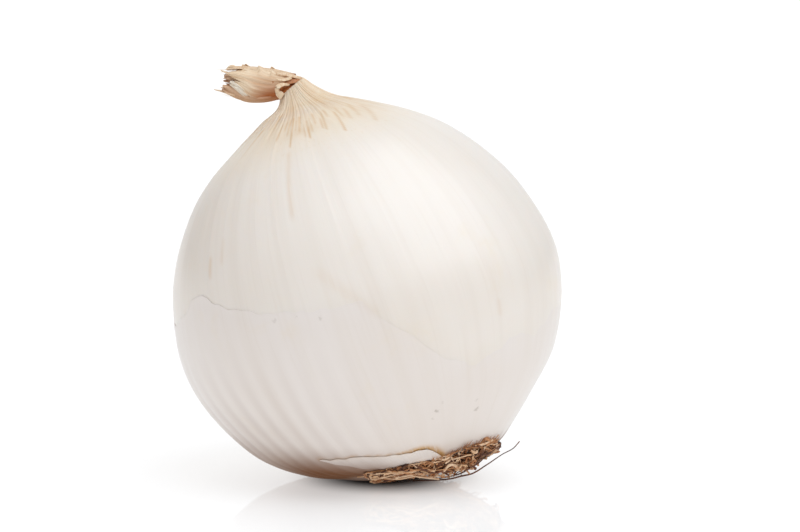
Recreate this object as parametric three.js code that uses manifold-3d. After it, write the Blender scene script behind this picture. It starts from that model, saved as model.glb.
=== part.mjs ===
// A whole white onion: the bulb in its papery skin, the dried neck and the dried roots.
//
// Millimetres, +Z up. The onion lies a little on its side, on a small flat spot under its weight.
// The origin is the middle of that spot.
//
// Each shape is drawn on the onion's own axis first: x is the side that the neck leans away from,
// y goes to the back, and h runs up the axis, from the root plate at 0 to the fold of the neck.

import * as THREE from 'three';
import { mergeVertices } from 'three/addons/utils/BufferGeometryUtils.js';
import Module from 'manifold-3d';

const wasm = await Module();
wasm.setup();

const { clamp, degToRad, lerp, smoothstep } = THREE.MathUtils;

// ---------------------------------------------------------------- driving dimensions

const BULB_RADIUS = 40;
const FOLD_HEIGHT = 84.4; // from the root plate to the fold of the neck
const NECK_RADIUS = 3; // at the fold
const PLATE_RADIUS = 8; // where the skin ends round the root plate
const GAP = 0.3; // between the bulb and what grows out of it
const SLIVER = 0.02; // edges shorter than this are closed up after a cut

const LEAN_SIDE = degToRad(19); // the neck leans to -X
const LEAN_BACK = degToRad(5.9); // and a little to +Y
const PLATE_PLACE = new THREE.Vector3(12.3, -3.9, 0.35);

const VEINS = 52; // fine ribs from the root plate to the neck
const VEIN_RISE = 0.07;
const PLEATS = 26; // folds that gather the skin into the neck
const PLEAT_RISE = 0.28;
const FACES_ROUND = 4 * PLEATS;
const RINGS = 31;

const BLADE_THICKNESS = 0.62; // of a dry leaf
const STRAND_RADIUS = 0.36; // of a dry root
const STRANDS = 40; // that leave the plate
const CROSSING_STRANDS = 12; // that wind round in the mat
const STRAND_SIDES = 3;
const FLOOR_CLEARANCE = 0.06; // of the lowest root above the surface

// Half outline of the bulb: radius, height
const BULB_OUTLINE = [
  [PLATE_RADIUS, 2.9],
  [11.8, 3.1],
  [15.6, 3.9],
  [20.2, 6.4],
  [24.2, 8.9],
  [28.9, 12.7],
  [33.1, 17.7],
  [36.9, 24.6],
  [39.2, 31.2],
  [BULB_RADIUS, 37.5],
  [39.2, 44.4],
  [36.7, 53],
  [32.7, 60.5],
  [27.2, 67.6],
  [21.6, 72.3],
  [15.2, 76.1],
  [10.2, 78.8],
  [6.3, 80.9],
  [4.2, 82.6],
  [NECK_RADIUS, FOLD_HEIGHT],
];

// ---------------------------------------------------------------- the onion's own axis

const leaned = new THREE.Matrix4()
  .makeRotationFromEuler(new THREE.Euler(-LEAN_BACK, -LEAN_SIDE, 0))
  .setPosition(PLATE_PLACE);

function onAxis(x, y, h) {
  return new THREE.Vector3(x, y, h).applyMatrix4(leaned);
}

// ---------------------------------------------------------------- solids

// A closed solid through rings of points that all have the same number of points.
// The rings run anticlockwise, seen from the last ring.
function loft(rings) {
  const size = rings[0].length;
  const points = rings.flat();
  const ends = [rings[0], rings[rings.length - 1]];
  for (const end of ends) {
    const middle = new THREE.Vector3();
    end.forEach((point) => middle.addScaledVector(point, 1 / size));
    points.push(middle);
  }
  const [firstMiddle, lastMiddle] = [points.length - 2, points.length - 1];
  const lastRing = (rings.length - 1) * size;
  const index = [];
  for (let i = 0; i < size; i += 1) {
    const next = (i + 1) % size;
    for (let low = 0; low < lastRing; low += size) {
      index.push(low + i, low + next, low + size + i);
      index.push(low + next, low + size + next, low + size + i);
    }
    index.push(firstMiddle, next, i);
    index.push(lastMiddle, lastRing + i, lastRing + next);
  }
  return new THREE.BufferGeometry().setFromPoints(points).setIndex(index);
}

// A blade of even thickness over a grid of points: rows run along it, and each row runs across.
function blade(rows, thickness) {
  const across = (row, i) => {
    const [a, b] = [row[Math.max(i - 1, 0)], row[Math.min(i + 1, row.length - 1)]];
    return new THREE.Vector3().subVectors(b, a);
  };
  const along = (r, i) => {
    const [a, b] = [rows[Math.max(r - 1, 0)], rows[Math.min(r + 1, rows.length - 1)]];
    return new THREE.Vector3().subVectors(b[i], a[i]);
  };
  return loft(rows.map((row, r) => {
    const half = row.map((point, i) => across(row, i).cross(along(r, i)).setLength(thickness / 2));
    const upper = row.map((point, i) => point.clone().add(half[i]));
    const lower = row.map((point, i) => point.clone().sub(half[i]));
    return upper.concat(lower.reverse());
  }));
}

// A tapering strand with a few flat sides on a smooth curve through points, each [x, y, z].
function strand(points, startRadius, endRadius, sides, steps) {
  const curve = new THREE.CatmullRomCurve3(points.map((point) => new THREE.Vector3(...point)));
  const frames = curve.computeFrenetFrames(steps, false);
  const rings = [];
  for (let step = 0; step <= steps; step += 1) {
    const centre = curve.getPointAt(step / steps);
    const radius = lerp(startRadius, endRadius, step / steps);
    const ring = [];
    for (let side = 0; side < sides; side += 1) {
      const turn = (2 * Math.PI * side) / sides;
      ring.push(centre.clone()
        .addScaledVector(frames.normals[step], radius * Math.cos(turn))
        .addScaledVector(frames.binormals[step], radius * Math.sin(turn)));
    }
    rings.push(ring);
  }
  return loft(rings);
}

function solid(geometry) {
  const bare = geometry.clone();
  bare.deleteAttribute('normal');
  bare.deleteAttribute('uv');
  const merged = mergeVertices(bare, 1e-4);
  return new wasm.Manifold(new wasm.Mesh({
    numProp: 3,
    vertProperties: merged.attributes.position.array,
    triVerts: Uint32Array.from(merged.index.array),
  }));
}

function joined(geometries) {
  return geometries.map(solid).reduce((sum, piece) => sum.add(piece));
}

// The one body that holds together, without the crumbs and slivers that a cut can leave.
function whole(manifold) {
  const pieces = manifold.simplify(SLIVER).decompose();
  return pieces.reduce((best, piece) => (piece.volume() > best.volume() ? piece : best));
}

function mesh(name, manifold, material) {
  const { vertProperties, triVerts } = manifold.getMesh();
  const geometry = new THREE.BufferGeometry();
  geometry.setAttribute('position', new THREE.BufferAttribute(vertProperties, 3));
  geometry.setIndex(new THREE.BufferAttribute(triVerts, 1));
  geometry.computeVertexNormals();
  const result = new THREE.Mesh(geometry, material);
  result.name = name;
  return result;
}

// Everything below a level, as a block to cut away.
function below(level) {
  const side = 4 * BULB_RADIUS;
  return solid(new THREE.BoxGeometry(side, side, side).translate(0, 0, level - side / 2));
}

// The same draws each time the file runs.
function seeded(seed) {
  let state = seed;
  return (low, high) => {
    state = (Math.imul(state, 1664525) + 1013904223) >>> 0;
    return lerp(low, high, state / 2 ** 32);
  };
}

// ---------------------------------------------------------------- the bulb

const outline = new THREE.SplineCurve(
  BULB_OUTLINE.map(([radius, height]) => new THREE.Vector2(radius, height)),
);
const WIDEST_SHARE = 9 / (BULB_OUTLINE.length - 1); // where the outline reaches BULB_RADIUS

// The bulb's middle wanders a little from the straight axis on its way up: height, x
const MIDDLE_LINE = [
  [0, 0],
  [36, 0],
  [60, -0.6],
  [72, -0.6],
  [79, -0.1],
  [FOLD_HEIGHT, -0.5],
];

function middleAt(height) {
  const last = MIDDLE_LINE.length - 1;
  const above = MIDDLE_LINE.findIndex(([level], i) => i > 0 && (level >= height || i === last));
  const [lowLevel, lowX] = MIDDLE_LINE[above - 1];
  const [highLevel, highX] = MIDDLE_LINE[above];
  return lerp(lowX, highX, clamp((height - lowLevel) / (highLevel - lowLevel), 0, 1));
}

function bump(value, middle, width) {
  return Math.exp(-(((value - middle) / width) ** 2));
}

// The side that the onion lies on is flatter just outside the root plate, and fuller further out.
function restSideLift(x, radius, height) {
  const flatter = degToRad(5) * bump(radius, 15.5, 5);
  const fuller = degToRad(1.4) * bump(radius, 27.5, 4.5);
  return -x * Math.tan(flatter - fuller) * (1 - smoothstep(height, 12, 30));
}

// The shoulder is lower on the side away from the lean.
function shoulderDrop(x, height) {
  return 0.6 * bump(x, 19, 9) * smoothstep(height, 58, 68);
}

// The neck folds over on a slanting line.
function foldLift(x, height) {
  return smoothstep(height, 79.5, FOLD_HEIGHT) * Math.tan(degToRad(21.8)) * (x + 0.6);
}

// A point of the skin: the turn round the axis, the share of the outline from base to neck,
// and how far it is raised off the skin.
function skinPoint(turn, share, raised = 0) {
  const { x: radius, y: height } = outline.getPoint(share);
  const tangent = outline.getTangent(share);
  const unevenness = 0.22 * Math.cos(3 * turn + 0.9) + 0.16 * Math.cos(5 * turn + 2.2 + height / 25);
  const vein = VEIN_RISE * Math.cos(VEINS * turn) * smoothstep(radius, 12, 26);
  const pleat = PLEAT_RISE * Math.cos(PLEATS * turn) * smoothstep(height, 69, 80);
  const out = raised + vein + pleat + unevenness * smoothstep(radius, 6, 30);
  const reach = radius + out * tangent.y;
  const level = height - out * tangent.x;
  const x = reach * Math.cos(turn) + middleAt(height);
  const lift = restSideLift(x, radius, height) + foldLift(x, height) - shoulderDrop(x, height);
  return onAxis(x, reach * Math.sin(turn), level + lift);
}

function skinRings(raised) {
  const rings = [];
  for (let ring = 0; ring < RINGS; ring += 1) {
    const share = ring / (RINGS - 1);
    const points = [];
    for (let face = 0; face < FACES_ROUND; face += 1) {
      points.push(skinPoint((2 * Math.PI * face) / FACES_ROUND, share, raised));
    }
    rings.push(points);
  }
  return rings;
}

// The share of the outline, below the widest place, where the skin has this radius.
function shareAtRadius(radius) {
  let [low, high] = [0, WIDEST_SHARE];
  for (let halving = 0; halving < 30; halving += 1) {
    const middle = (low + high) / 2;
    if (outline.getPoint(middle).x < radius) {
      low = middle;
    } else {
      high = middle;
    }
  }
  return low;
}

// A strip of torn skin that stands off the bulb just above the roots.
const FLAP = {
  turns: [degToRad(235), degToRad(287)],
  upperRadius: [29.4, 21.2], // its free edge, at the two ends
  width: [0.8, 4.4], // at its thin end and at its widest
  rise: 0.75, // of the free edge off the skin
  sunk: 0.8, // into the bulb
};

function skinFlap() {
  const stations = 12;
  const rings = [];
  for (let station = 0; station <= stations; station += 1) {
    const t = station / stations;
    const turn = lerp(...FLAP.turns, t);
    const upper = lerp(...FLAP.upperRadius, t ** 1.2);
    const lower = upper - lerp(...FLAP.width, Math.sin(Math.PI * (0.62 * t + 0.05)));
    const at = (radius, raised) => skinPoint(turn, shareAtRadius(radius), raised);
    rings.push([
      at(upper, -FLAP.sunk),
      at(upper, FLAP.rise),
      at((upper + lower) / 2, FLAP.rise),
      at(lower, FLAP.rise / 2),
      at(lower, -FLAP.sunk),
    ]);
  }
  return loft(rings);
}

const bulb = whole(solid(loft(skinRings(0)))
  .add(solid(skinFlap()))
  .subtract(below(0)));

// ---------------------------------------------------------------- the dried neck

// The middle of the folded bundle, from the fold of the neck to its frayed end.
const bundleLine = new THREE.CatmullRomCurve3([
  new THREE.Vector3(-15.4, 4.5, 80.6),
  new THREE.Vector3(-18.2, 4.3, 80.6),
  new THREE.Vector3(-21.6, 4, 80.7),
  new THREE.Vector3(-25.4, 3.6, 80.8),
  new THREE.Vector3(-30, 3.1, 80.9),
]);
const BUNDLE_HALF_HEIGHT = [1.5, 3.4, 3.7, 3.7];
const BUNDLE_HALF_DEPTH = [1.7, 2.2, 2.5, 2.7];

function between(values, share) {
  const place = clamp(share, 0, 1) * (values.length - 1);
  const low = Math.min(Math.floor(place), values.length - 2);
  return lerp(values[low], values[low + 1], place - low);
}

// A point round the bundle: the share of its length, the turn round it, and the share of its size.
function bundlePoint(share, turn, size) {
  const centre = bundleLine.getPointAt(Math.min(share, 1));
  const crease = 1 + 0.07 * Math.cos(7 * turn + 3 * share);
  centre.x -= Math.max(share - 1, 0) * 14;
  centre.y += size * crease * between(BUNDLE_HALF_DEPTH, share) * Math.sin(turn);
  centre.z += size * crease * between(BUNDLE_HALF_HEIGHT, share) * Math.cos(turn);
  return centre;
}

// Each dry leaf: the turn where its middle lies, how far round it wraps, its size in the bundle,
// where it ends, and how pointed it is. Turn 0 is the top and 90 degrees the back.
const DRY_LEAVES = [
  { turn: 0, wrap: 80, size: 1, end: 0.95, point: 0.4 },
  { turn: 75, wrap: 85, size: 1, end: 0.9, point: 0.5 },
  { turn: 150, wrap: 80, size: 1, end: 1, point: 0.6 },
  { turn: 190, wrap: 75, size: 1, end: 0.9, point: 0.4 },
  { turn: 240, wrap: 55, size: 0.8, end: 1.13, point: 0.95 },
  { turn: 282, wrap: 60, size: 0.95, end: 0.84, point: 0.6 },
  { turn: 322, wrap: 66, size: 0.92, end: 1.13, point: 0.92 },
];

function dryLeaf({ turn, wrap, size, end, point }) {
  const [lengths, widths] = [8, 3];
  const rows = [];
  for (let i = 0; i <= lengths; i += 1) {
    const t = i / lengths;
    const narrowing = 1 - point * smoothstep(t, 0.62, 1);
    const flare = size * lerp(0.8, 1, smoothstep(t, 0, 0.4)) + 0.07 * Math.sin(5 * t + turn);
    const row = [];
    for (let j = 0; j <= widths; j += 1) {
      const sideways = (j / widths - 0.5) * wrap * narrowing;
      row.push(bundlePoint(t * end, degToRad(turn + sideways + 12 * t), flare));
    }
    rows.push(row);
  }
  return blade(rows, BLADE_THICKNESS);
}

function bundleCore() {
  const rings = [];
  for (let i = 0; i <= 5; i += 1) {
    const t = i / 5;
    const ring = [];
    for (let face = 0; face < 14; face += 1) {
      ring.push(bundlePoint(t * 0.7, (2 * Math.PI * face) / 14, lerp(0.95, 0.72, t)));
    }
    rings.push(ring);
  }
  return loft(rings);
}

// Leaf ends that wind round the fold.
const KNOTS = [
  [[-13.6, 3.4, 81.6], [-15.6, 2.4, 81.5], [-17.4, 1.9, 80.6], [-18.4, 2.2, 79.3]],
  [[-14.4, 2.6, 80.4], [-16.4, 2, 79.7], [-17.6, 2.1, 78.6], [-17.2, 3.2, 77.9]],
  [[-14.8, 6.2, 81.4], [-16.4, 6.8, 80.6], [-17.6, 6.6, 79.2]],
];

function knot(points) {
  return strand(points, 0.75, 0.5, 6, 7);
}

const bulbWithGap = solid(loft(skinRings(GAP)));
const dryNeck = whole(joined([
  bundleCore(),
  ...DRY_LEAVES.map(dryLeaf),
  ...KNOTS.map(knot),
]).subtract(bulbWithGap));

// ---------------------------------------------------------------- the dried roots

const random = seeded(11);

// How far the roots reach from the axis, every 30 degrees round it: least where the onion rests.
const ROOT_REACH = [15.5, 14, 12.5, 11.5, 10, 8.2, 7.6, 12.5, 19.5, 17, 18.6, 17.2];

function reachAt(turn) {
  const place = ((turn / (2 * Math.PI)) * ROOT_REACH.length + ROOT_REACH.length) % ROOT_REACH.length;
  const low = Math.floor(place);
  return lerp(ROOT_REACH[low], ROOT_REACH[(low + 1) % ROOT_REACH.length], place - low);
}

// A point under the bulb: the turn, the distance from the axis, and the drop below the skin.
function underSkin(turn, radius, drop) {
  const point = radius > PLATE_RADIUS + 0.2
    ? skinPoint(turn, shareAtRadius(radius), -0.1)
    : onAxis(radius * Math.cos(turn), radius * Math.sin(turn), 2.8);
  const down = new THREE.Vector3(0, 0, -1).transformDirection(leaned);
  point.addScaledVector(down, GAP + drop);
  point.z = Math.max(point.z, STRAND_RADIUS + FLOOR_CLEARANCE);
  return point;
}

// The corky plate that the roots grow from.
function rootPlate() {
  const profile = [[5.6, 0.1], [8.4, 0.3], [9, 0.9], [7.4, 1.3], [3, 1]];
  const faces = 22;
  const rings = profile.map(([radius, drop]) => {
    const ring = [];
    for (let face = 0; face < faces; face += 1) {
      const turn = (2 * Math.PI * face) / faces;
      const reach = Math.min(radius * (1 + 0.07 * Math.cos(7 * turn)), 0.86 * reachAt(turn));
      ring.push(underSkin(turn, reach, drop));
    }
    return ring;
  });
  return loft(rings.reverse());
}

// One root: it leaves the plate, runs out under the skin, then turns aside and curls.
function root(number) {
  const start = (2 * Math.PI * (number + random(-0.4, 0.4))) / STRANDS;
  const drift = random(-0.7, 0.7);
  const reach = reachAt(start + drift / 2) * random(0.82, 1);
  const plate = random(1.5, 6.5);
  const end = random(0.3, 3);
  const points = [];
  for (let i = 0; i <= 4; i += 1) {
    const t = i / 4;
    const wander = i > 1 ? random(-0.6, 0.6) : 0;
    points.push(underSkin(start + drift * t * t, lerp(plate, reach, t), lerp(1.1, end, t) + wander));
  }
  return strand(points, STRAND_RADIUS * 1.2, STRAND_RADIUS * 0.95, STRAND_SIDES, 5);
}

// A root that winds round through the others, where the mat is thick.
function crossingRoot(number) {
  const start = degToRad(lerp(225, 350, (number + random(0, 1)) / CROSSING_STRANDS));
  const sweep = random(-1, 1) > 0 ? random(0.5, 0.9) : random(-0.9, -0.5);
  const share = random(0.55, 0.9);
  const points = [];
  for (let i = 0; i <= 4; i += 1) {
    const turn = start + (sweep * i) / 4;
    points.push(underSkin(turn, reachAt(turn) * (share + random(-0.08, 0.08)), random(0.5, 3.6)));
  }
  return strand(points, STRAND_RADIUS * 1.1, STRAND_RADIUS, STRAND_SIDES, 6);
}

// Stiff single roots that stand clear of the mat.
const STRAY_ROOTS = [
  [[8, -8.5, 1.2], [13, -14, 0.9], [16.6, -14.4, 1.2], [19.4, -14, 2], [22, -13, 3.1],
    [25.4, -12, 5.1], [28.9, -11, 7.2], [30.5, -10, 8.7]],
  [[15.5, -9.5, 1.9], [19.2, -12, 3], [21.6, -12, 3.8], [23.5, -11.6, 5.4], [25.3, -11, 7.1]],
  [[16.4, -11, 3], [18.3, -13.6, 3.2], [18.9, -14.2, 1.9], [18.8, -14, 1]],
  [[8.5, -6, 1.1], [3.4, -11, 1.3], [0.6, -15, 1.7], [-1, -17.6, 2.1], [-2, -17, 2.9]],
];

function strayRoot(points) {
  return strand(points, STRAND_RADIUS, STRAND_RADIUS * 0.85, 4, 10);
}

const roots = whole(joined([
  rootPlate(),
  ...Array.from({ length: STRANDS }, (unused, number) => root(number)),
  ...Array.from({ length: CROSSING_STRANDS }, (unused, number) => crossingRoot(number)),
  ...STRAY_ROOTS.map(strayRoot),
]).subtract(bulbWithGap).subtract(below(FLOOR_CLEARANCE)));

// ---------------------------------------------------------------- the onion

const whiteSkin = new THREE.MeshStandardMaterial({ color: '#e9e1d6', roughness: 0.38, metalness: 0 });
const dryLeafSkin = new THREE.MeshStandardMaterial({ color: '#cfa878', roughness: 0.75, metalness: 0 });
const dryRoot = new THREE.MeshStandardMaterial({ color: '#9c7450', roughness: 0.85, metalness: 0 });

const onion = new THREE.Group();
onion.add(
  mesh('bulb', bulb, whiteSkin),
  mesh('dry_neck', dryNeck, dryLeafSkin),
  mesh('roots', roots, dryRoot),
);

export default onion;
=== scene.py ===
# %% [markdown]
# # A white onion, lying on its side
#
# This lesson dresses a whole white onion. Its solid parts, the bulb, the dried neck and the dried
# roots, come from a fixed model that is loaded first. Each is then replaced by finer pieces of the
# same form: skin with veins and pleats, curled dry leaves, and a mat of thin roots.

# %% Load the frame
import math
import random

import bpy
import numpy as np
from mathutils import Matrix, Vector


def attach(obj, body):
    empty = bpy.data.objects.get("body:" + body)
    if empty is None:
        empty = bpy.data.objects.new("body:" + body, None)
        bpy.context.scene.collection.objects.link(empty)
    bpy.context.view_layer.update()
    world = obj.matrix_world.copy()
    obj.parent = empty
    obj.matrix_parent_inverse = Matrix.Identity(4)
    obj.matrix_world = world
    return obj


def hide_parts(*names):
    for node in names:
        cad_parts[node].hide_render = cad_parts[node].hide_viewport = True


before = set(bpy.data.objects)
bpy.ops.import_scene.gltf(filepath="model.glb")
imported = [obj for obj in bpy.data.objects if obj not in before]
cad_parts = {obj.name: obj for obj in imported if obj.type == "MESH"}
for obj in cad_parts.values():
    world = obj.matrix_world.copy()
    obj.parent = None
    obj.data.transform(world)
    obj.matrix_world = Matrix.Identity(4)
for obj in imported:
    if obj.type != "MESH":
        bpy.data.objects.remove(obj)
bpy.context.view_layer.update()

MM = 0.001
print("solid parts:", sorted(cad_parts))

# %% [markdown]
# ## The camera
#
# The picture is 800 by 532 pixels. The onion is seen almost level, from a little above, with a long
# lens, so its far side hardly shrinks. The camera could be placed by eye, but it is easier to say
# which pixel shows the rest spot and how many pixels a metre takes there, and to work back.

# %% Camera
PICTURE = (800, 532)
REST_PIXEL = (369, 476)
PIXELS_PER_MM = 390 / 80
VIEW_ELEVATION = math.radians(8)
VIEW_DISTANCE = 0.75
SENSOR_WIDTH = 36


def add_camera():
    back = Vector((0, -math.cos(VIEW_ELEVATION), math.sin(VIEW_ELEVATION)))
    up = Vector((0, math.sin(VIEW_ELEVATION), math.cos(VIEW_ELEVATION)))
    right_of_rest = (PICTURE[0] / 2 - REST_PIXEL[0]) / PIXELS_PER_MM * MM
    above_rest = (REST_PIXEL[1] - PICTURE[1] / 2) / PIXELS_PER_MM * MM
    aim = Vector((right_of_rest, 0, 0)) + above_rest * up
    bpy.ops.object.camera_add(location=aim + VIEW_DISTANCE * back)
    camera = bpy.context.object
    camera.rotation_euler = (-back).to_track_quat("-Z", "Y").to_euler()
    picture_width = PICTURE[0] / PIXELS_PER_MM * MM
    camera.data.sensor_width = SENSOR_WIDTH
    camera.data.lens = SENSOR_WIDTH * VIEW_DISTANCE / picture_width
    bpy.context.scene.camera = camera
    return camera


camera = add_camera()
print("lens in mm:", round(camera.data.lens, 1))

# %% [markdown]
# ## The floor
#
# A white onion is shown on a glossy white surface, a plane with a weak mirror. The floor glows a
# little, in place of the light that bounces about a white room. None of that light gets under the
# onion, so the glow fades out there and the onion keeps its dark contact with the floor. Real white
# walls would do the same, but they take longer to render and leave more noise.

# %% Floor
FLOOR_SIDE = 3
FLOOR_WHITE = 0.54
FLOOR_GLOW = 0.47
FLOOR_ROUGHNESS = 0.03
FLOOR_IOR = 1.17  # low, for a weak mirror
# the middle of the patch without glow, and how far from it the glow begins and is full, in metres
UNLIT_PLACE = (0.003, 0, 0)
GLOW_BEGINS = 0.007
GLOW_IS_FULL = 0.021


def add_floor():
    bpy.ops.mesh.primitive_plane_add(size=FLOOR_SIDE, location=(0, 0, 0))
    floor = bpy.context.object
    floor.name = "floor"
    finish = bpy.data.materials.new("glossy_white_floor")
    finish.use_nodes = True
    nodes, links = finish.node_tree.nodes, finish.node_tree.links
    shader = nodes["Principled BSDF"]
    shader.inputs["Base Color"].default_value = (FLOOR_WHITE, FLOOR_WHITE, FLOOR_WHITE, 1)
    shader.inputs["Emission Color"].default_value = (1, 1, 1, 1)
    place = nodes.new("ShaderNodeTexCoord")
    away = nodes.new("ShaderNodeVectorMath")
    away.operation = "DISTANCE"
    away.inputs[1].default_value = UNLIT_PLACE
    links.new(place.outputs["Object"], away.inputs[0])
    glow = nodes.new("ShaderNodeMapRange")
    glow.interpolation_type = "SMOOTHSTEP"
    glow.inputs["From Min"].default_value = GLOW_BEGINS
    glow.inputs["From Max"].default_value = GLOW_IS_FULL
    glow.inputs["To Max"].default_value = FLOOR_GLOW
    links.new(away.outputs["Value"], glow.inputs["Value"])
    links.new(glow.outputs["Result"], shader.inputs["Emission Strength"])
    shader.inputs["Roughness"].default_value = FLOOR_ROUGHNESS
    shader.inputs["IOR"].default_value = FLOOR_IOR
    floor.data.materials.append(finish)
    return floor


floor = add_floor()
print("floor side in m:", round(floor.dimensions.x, 2))

# %% [markdown]
# ## The soft light
#
# One large square light, above, to the right and in front, gives the broad highlight. A small light
# would give a hard bright spot, which papery skin never shows.

# %% Softbox
LIGHT_AIM = Vector((0, 0, 0.04))
LIGHT_DIRECTION = (0.4, -0.3, 0.86)
LIGHT_DISTANCE = 0.8
LIGHT_SIDE = 0.95
LIGHT_WATTS = 3.85
LIGHT_COLOUR = (0.86, 0.95, 1.04)


def add_softbox():
    towards = Vector(LIGHT_DIRECTION).normalized()
    bpy.ops.object.light_add(type="AREA", location=LIGHT_AIM + towards * LIGHT_DISTANCE)
    light = bpy.context.object
    light.name = "softbox"
    light.rotation_euler = (-towards).to_track_quat("-Z", "Y").to_euler()
    light.data.size = LIGHT_SIDE
    light.data.color = LIGHT_COLOUR
    light.data.energy = LIGHT_WATTS
    return light


softbox = add_softbox()
print("softbox side in m:", round(softbox.data.size, 2))

# %% [markdown]
# ## The room
#
# The surroundings are white too, so nearly all the shading comes from how bright each side of the
# room is. It is brightest above and behind, and a little brighter in front and on the left than on
# the right. The camera sees all of it as plain white. A picture of a room would light the onion as
# well, but a brightness for each direction is easier to change.

# %% World
ROOM_BRIGHTNESS = 0.4
# each part of the room: the axis that it faces, where it begins and is full there, and its extra light
ROOM_PARTS = (("Z", 0, 1, 0.4), ("Y", 0.78, 0.94, 0.4), ("Y", 0, -1, 0.12), ("X", 0, -1, 0.05))
SEEN_BRIGHTNESS = 1.05


def light_the_world():
    world = bpy.data.worlds.new("white_studio")
    bpy.context.scene.world = world
    world.use_nodes = True
    nodes, links = world.node_tree.nodes, world.node_tree.links
    nodes.clear()
    place = nodes.new("ShaderNodeTexCoord")
    split = nodes.new("ShaderNodeSeparateXYZ")
    links.new(place.outputs["Generated"], split.inputs["Vector"])
    brightness = None
    for axis, begins, is_full, extra in ROOM_PARTS:
        part = nodes.new("ShaderNodeMapRange")
        part.inputs["From Min"].default_value = begins
        part.inputs["From Max"].default_value = is_full
        part.inputs["To Max"].default_value = extra
        links.new(split.outputs[axis], part.inputs["Value"])
        total = nodes.new("ShaderNodeMath")
        total.inputs[1].default_value = ROOM_BRIGHTNESS
        links.new(part.outputs["Result"], total.inputs[0])
        if brightness:
            links.new(brightness, total.inputs[1])
        brightness = total.outputs[0]
    surroundings = nodes.new("ShaderNodeBackground")
    surroundings.inputs["Color"].default_value = (1, 1, 1, 1)
    seen = nodes.new("ShaderNodeBackground")
    seen.inputs["Color"].default_value = (1, 1, 1, 1)
    seen.inputs["Strength"].default_value = SEEN_BRIGHTNESS
    path = nodes.new("ShaderNodeLightPath")
    choose = nodes.new("ShaderNodeMixShader")
    output = nodes.new("ShaderNodeOutputWorld")
    links.new(brightness, surroundings.inputs["Strength"])
    links.new(path.outputs["Is Camera Ray"], choose.inputs["Fac"])
    links.new(surroundings.outputs["Background"], choose.inputs[1])
    links.new(seen.outputs["Background"], choose.inputs[2])
    links.new(choose.outputs["Shader"], output.inputs["Surface"])


light_the_world()
bpy.context.scene.view_settings.view_transform = "Standard"
print("parts of the room:", [axis for axis, *_ in ROOM_PARTS])

# %% [markdown]
# ## The onion's own axis
#
# The onion leans, but it is easiest to describe upright: x is the side that the neck leans away
# from, y goes to the back and h runs up the axis from the root plate to the fold of the neck. One
# turn to the side and one to the back take that upright onion to where it lies.

# %% Axis
LEAN_SIDE = math.radians(19)
LEAN_BACK = math.radians(5.9)
PLATE_PLACE = np.array([12.3, -3.9, 0.35])
SIDE_AXIS = np.array([
    math.cos(LEAN_SIDE),
    math.sin(LEAN_BACK) * math.sin(LEAN_SIDE),
    math.cos(LEAN_BACK) * math.sin(LEAN_SIDE),
])
BACK_AXIS = np.array([0, math.cos(LEAN_BACK), -math.sin(LEAN_BACK)])
UP_AXIS = np.cross(SIDE_AXIS, BACK_AXIS)


def on_axis(x, y, h):
    """Points in mm, in the frame, from places on the onion's own axis."""
    sideways, backwards = np.multiply.outer(x, SIDE_AXIS), np.multiply.outer(y, BACK_AXIS)
    return PLATE_PLACE + sideways + backwards + np.multiply.outer(h, UP_AXIS)


def smooth_step(value, low, high):
    """0 up to low, 1 from high on, and a smooth rise between."""
    share = np.clip((value - low) / (high - low), 0, 1)
    return share * share * (3 - 2 * share)


def bump(value, middle, width):
    """1 at the middle, and next to nothing past twice the width from it."""
    return np.exp(-(((value - middle) / width) ** 2))


def turn_bump(turn, middle, width):
    """A bump round the axis; middle and width are in degrees."""
    away = (turn - math.radians(middle) + math.pi) % (2 * math.pi) - math.pi
    return np.exp(-((away / math.radians(width)) ** 2))


print("neck points to", np.round(UP_AXIS, 3))

# %% [markdown]
# ## The outline
#
# Half an outline, drawn from the root plate to the neck, gives the bulb its shape. A smooth line
# goes through its points, so a few of them are enough. A share from 0 to 1 says how far along that
# line a place is.

# %% Outline
PLATE_RADIUS = 8
FOLD_HEIGHT = 84.4
# radius and height in mm, from the plate to the fold
BULB_OUTLINE = np.array([
    (PLATE_RADIUS, 2.9), (11.8, 3.1), (15.6, 3.9), (20.2, 6.4), (24.2, 8.9), (28.9, 12.7), (33.1, 17.7),
    (36.9, 24.6), (39.2, 31.2), (40, 37.5), (39.2, 44.4), (36.7, 53), (32.7, 60.5), (27.2, 67.6),
    (21.6, 72.3), (15.2, 76.1), (10.2, 78.8), (6.3, 80.9), (4.2, 82.6), (3, FOLD_HEIGHT),
])


def along_line(points, share):
    """Places on a smooth line through points, by the share of its length."""
    points = np.asarray(points, dtype=float)
    last = len(points) - 1
    place = np.clip(share, 0, 1) * last
    index = np.minimum(place.astype(int), last - 1)
    t = (place - index)[:, None]
    before, start = points[np.maximum(index - 1, 0)], points[index]
    end, after = points[index + 1], points[np.minimum(index + 2, last)]
    leave, arrive = (end - before) / 2, (after - start) / 2
    cubic = 2 * start - 2 * end + leave + arrive
    square = 3 * end - 3 * start - 2 * leave - arrive
    return cubic * t**3 + square * t**2 + leave * t + start


def outline_at(share):
    """Radius and height of the bulb, in mm, at a share of its outline."""
    return along_line(BULB_OUTLINE, share).T


SHARES = np.linspace(0, 1, 400)
SHARE_RADII, SHARE_HEIGHTS = outline_at(SHARES)
WIDEST = int(np.argmax(SHARE_RADII))


def share_at_radius(radius):
    """Share of the outline below the widest place where the bulb has this radius."""
    return np.interp(radius, SHARE_RADII[:WIDEST], SHARES[:WIDEST])


def share_at_height(height):
    return np.interp(height, SHARE_HEIGHTS, SHARES)


print("widest at", round(float(SHARE_HEIGHTS[WIDEST]), 1), "mm above the plate")

# %% [markdown]
# ## Veins and pleats
#
# Two kinds of relief lie on the skin: fine veins that run from the roots to the neck, and pleats
# that gather the skin into the neck. The bulb is also a little uneven all over. A texture could fake
# them, but real relief also shows in the outline and catches the light.

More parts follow.
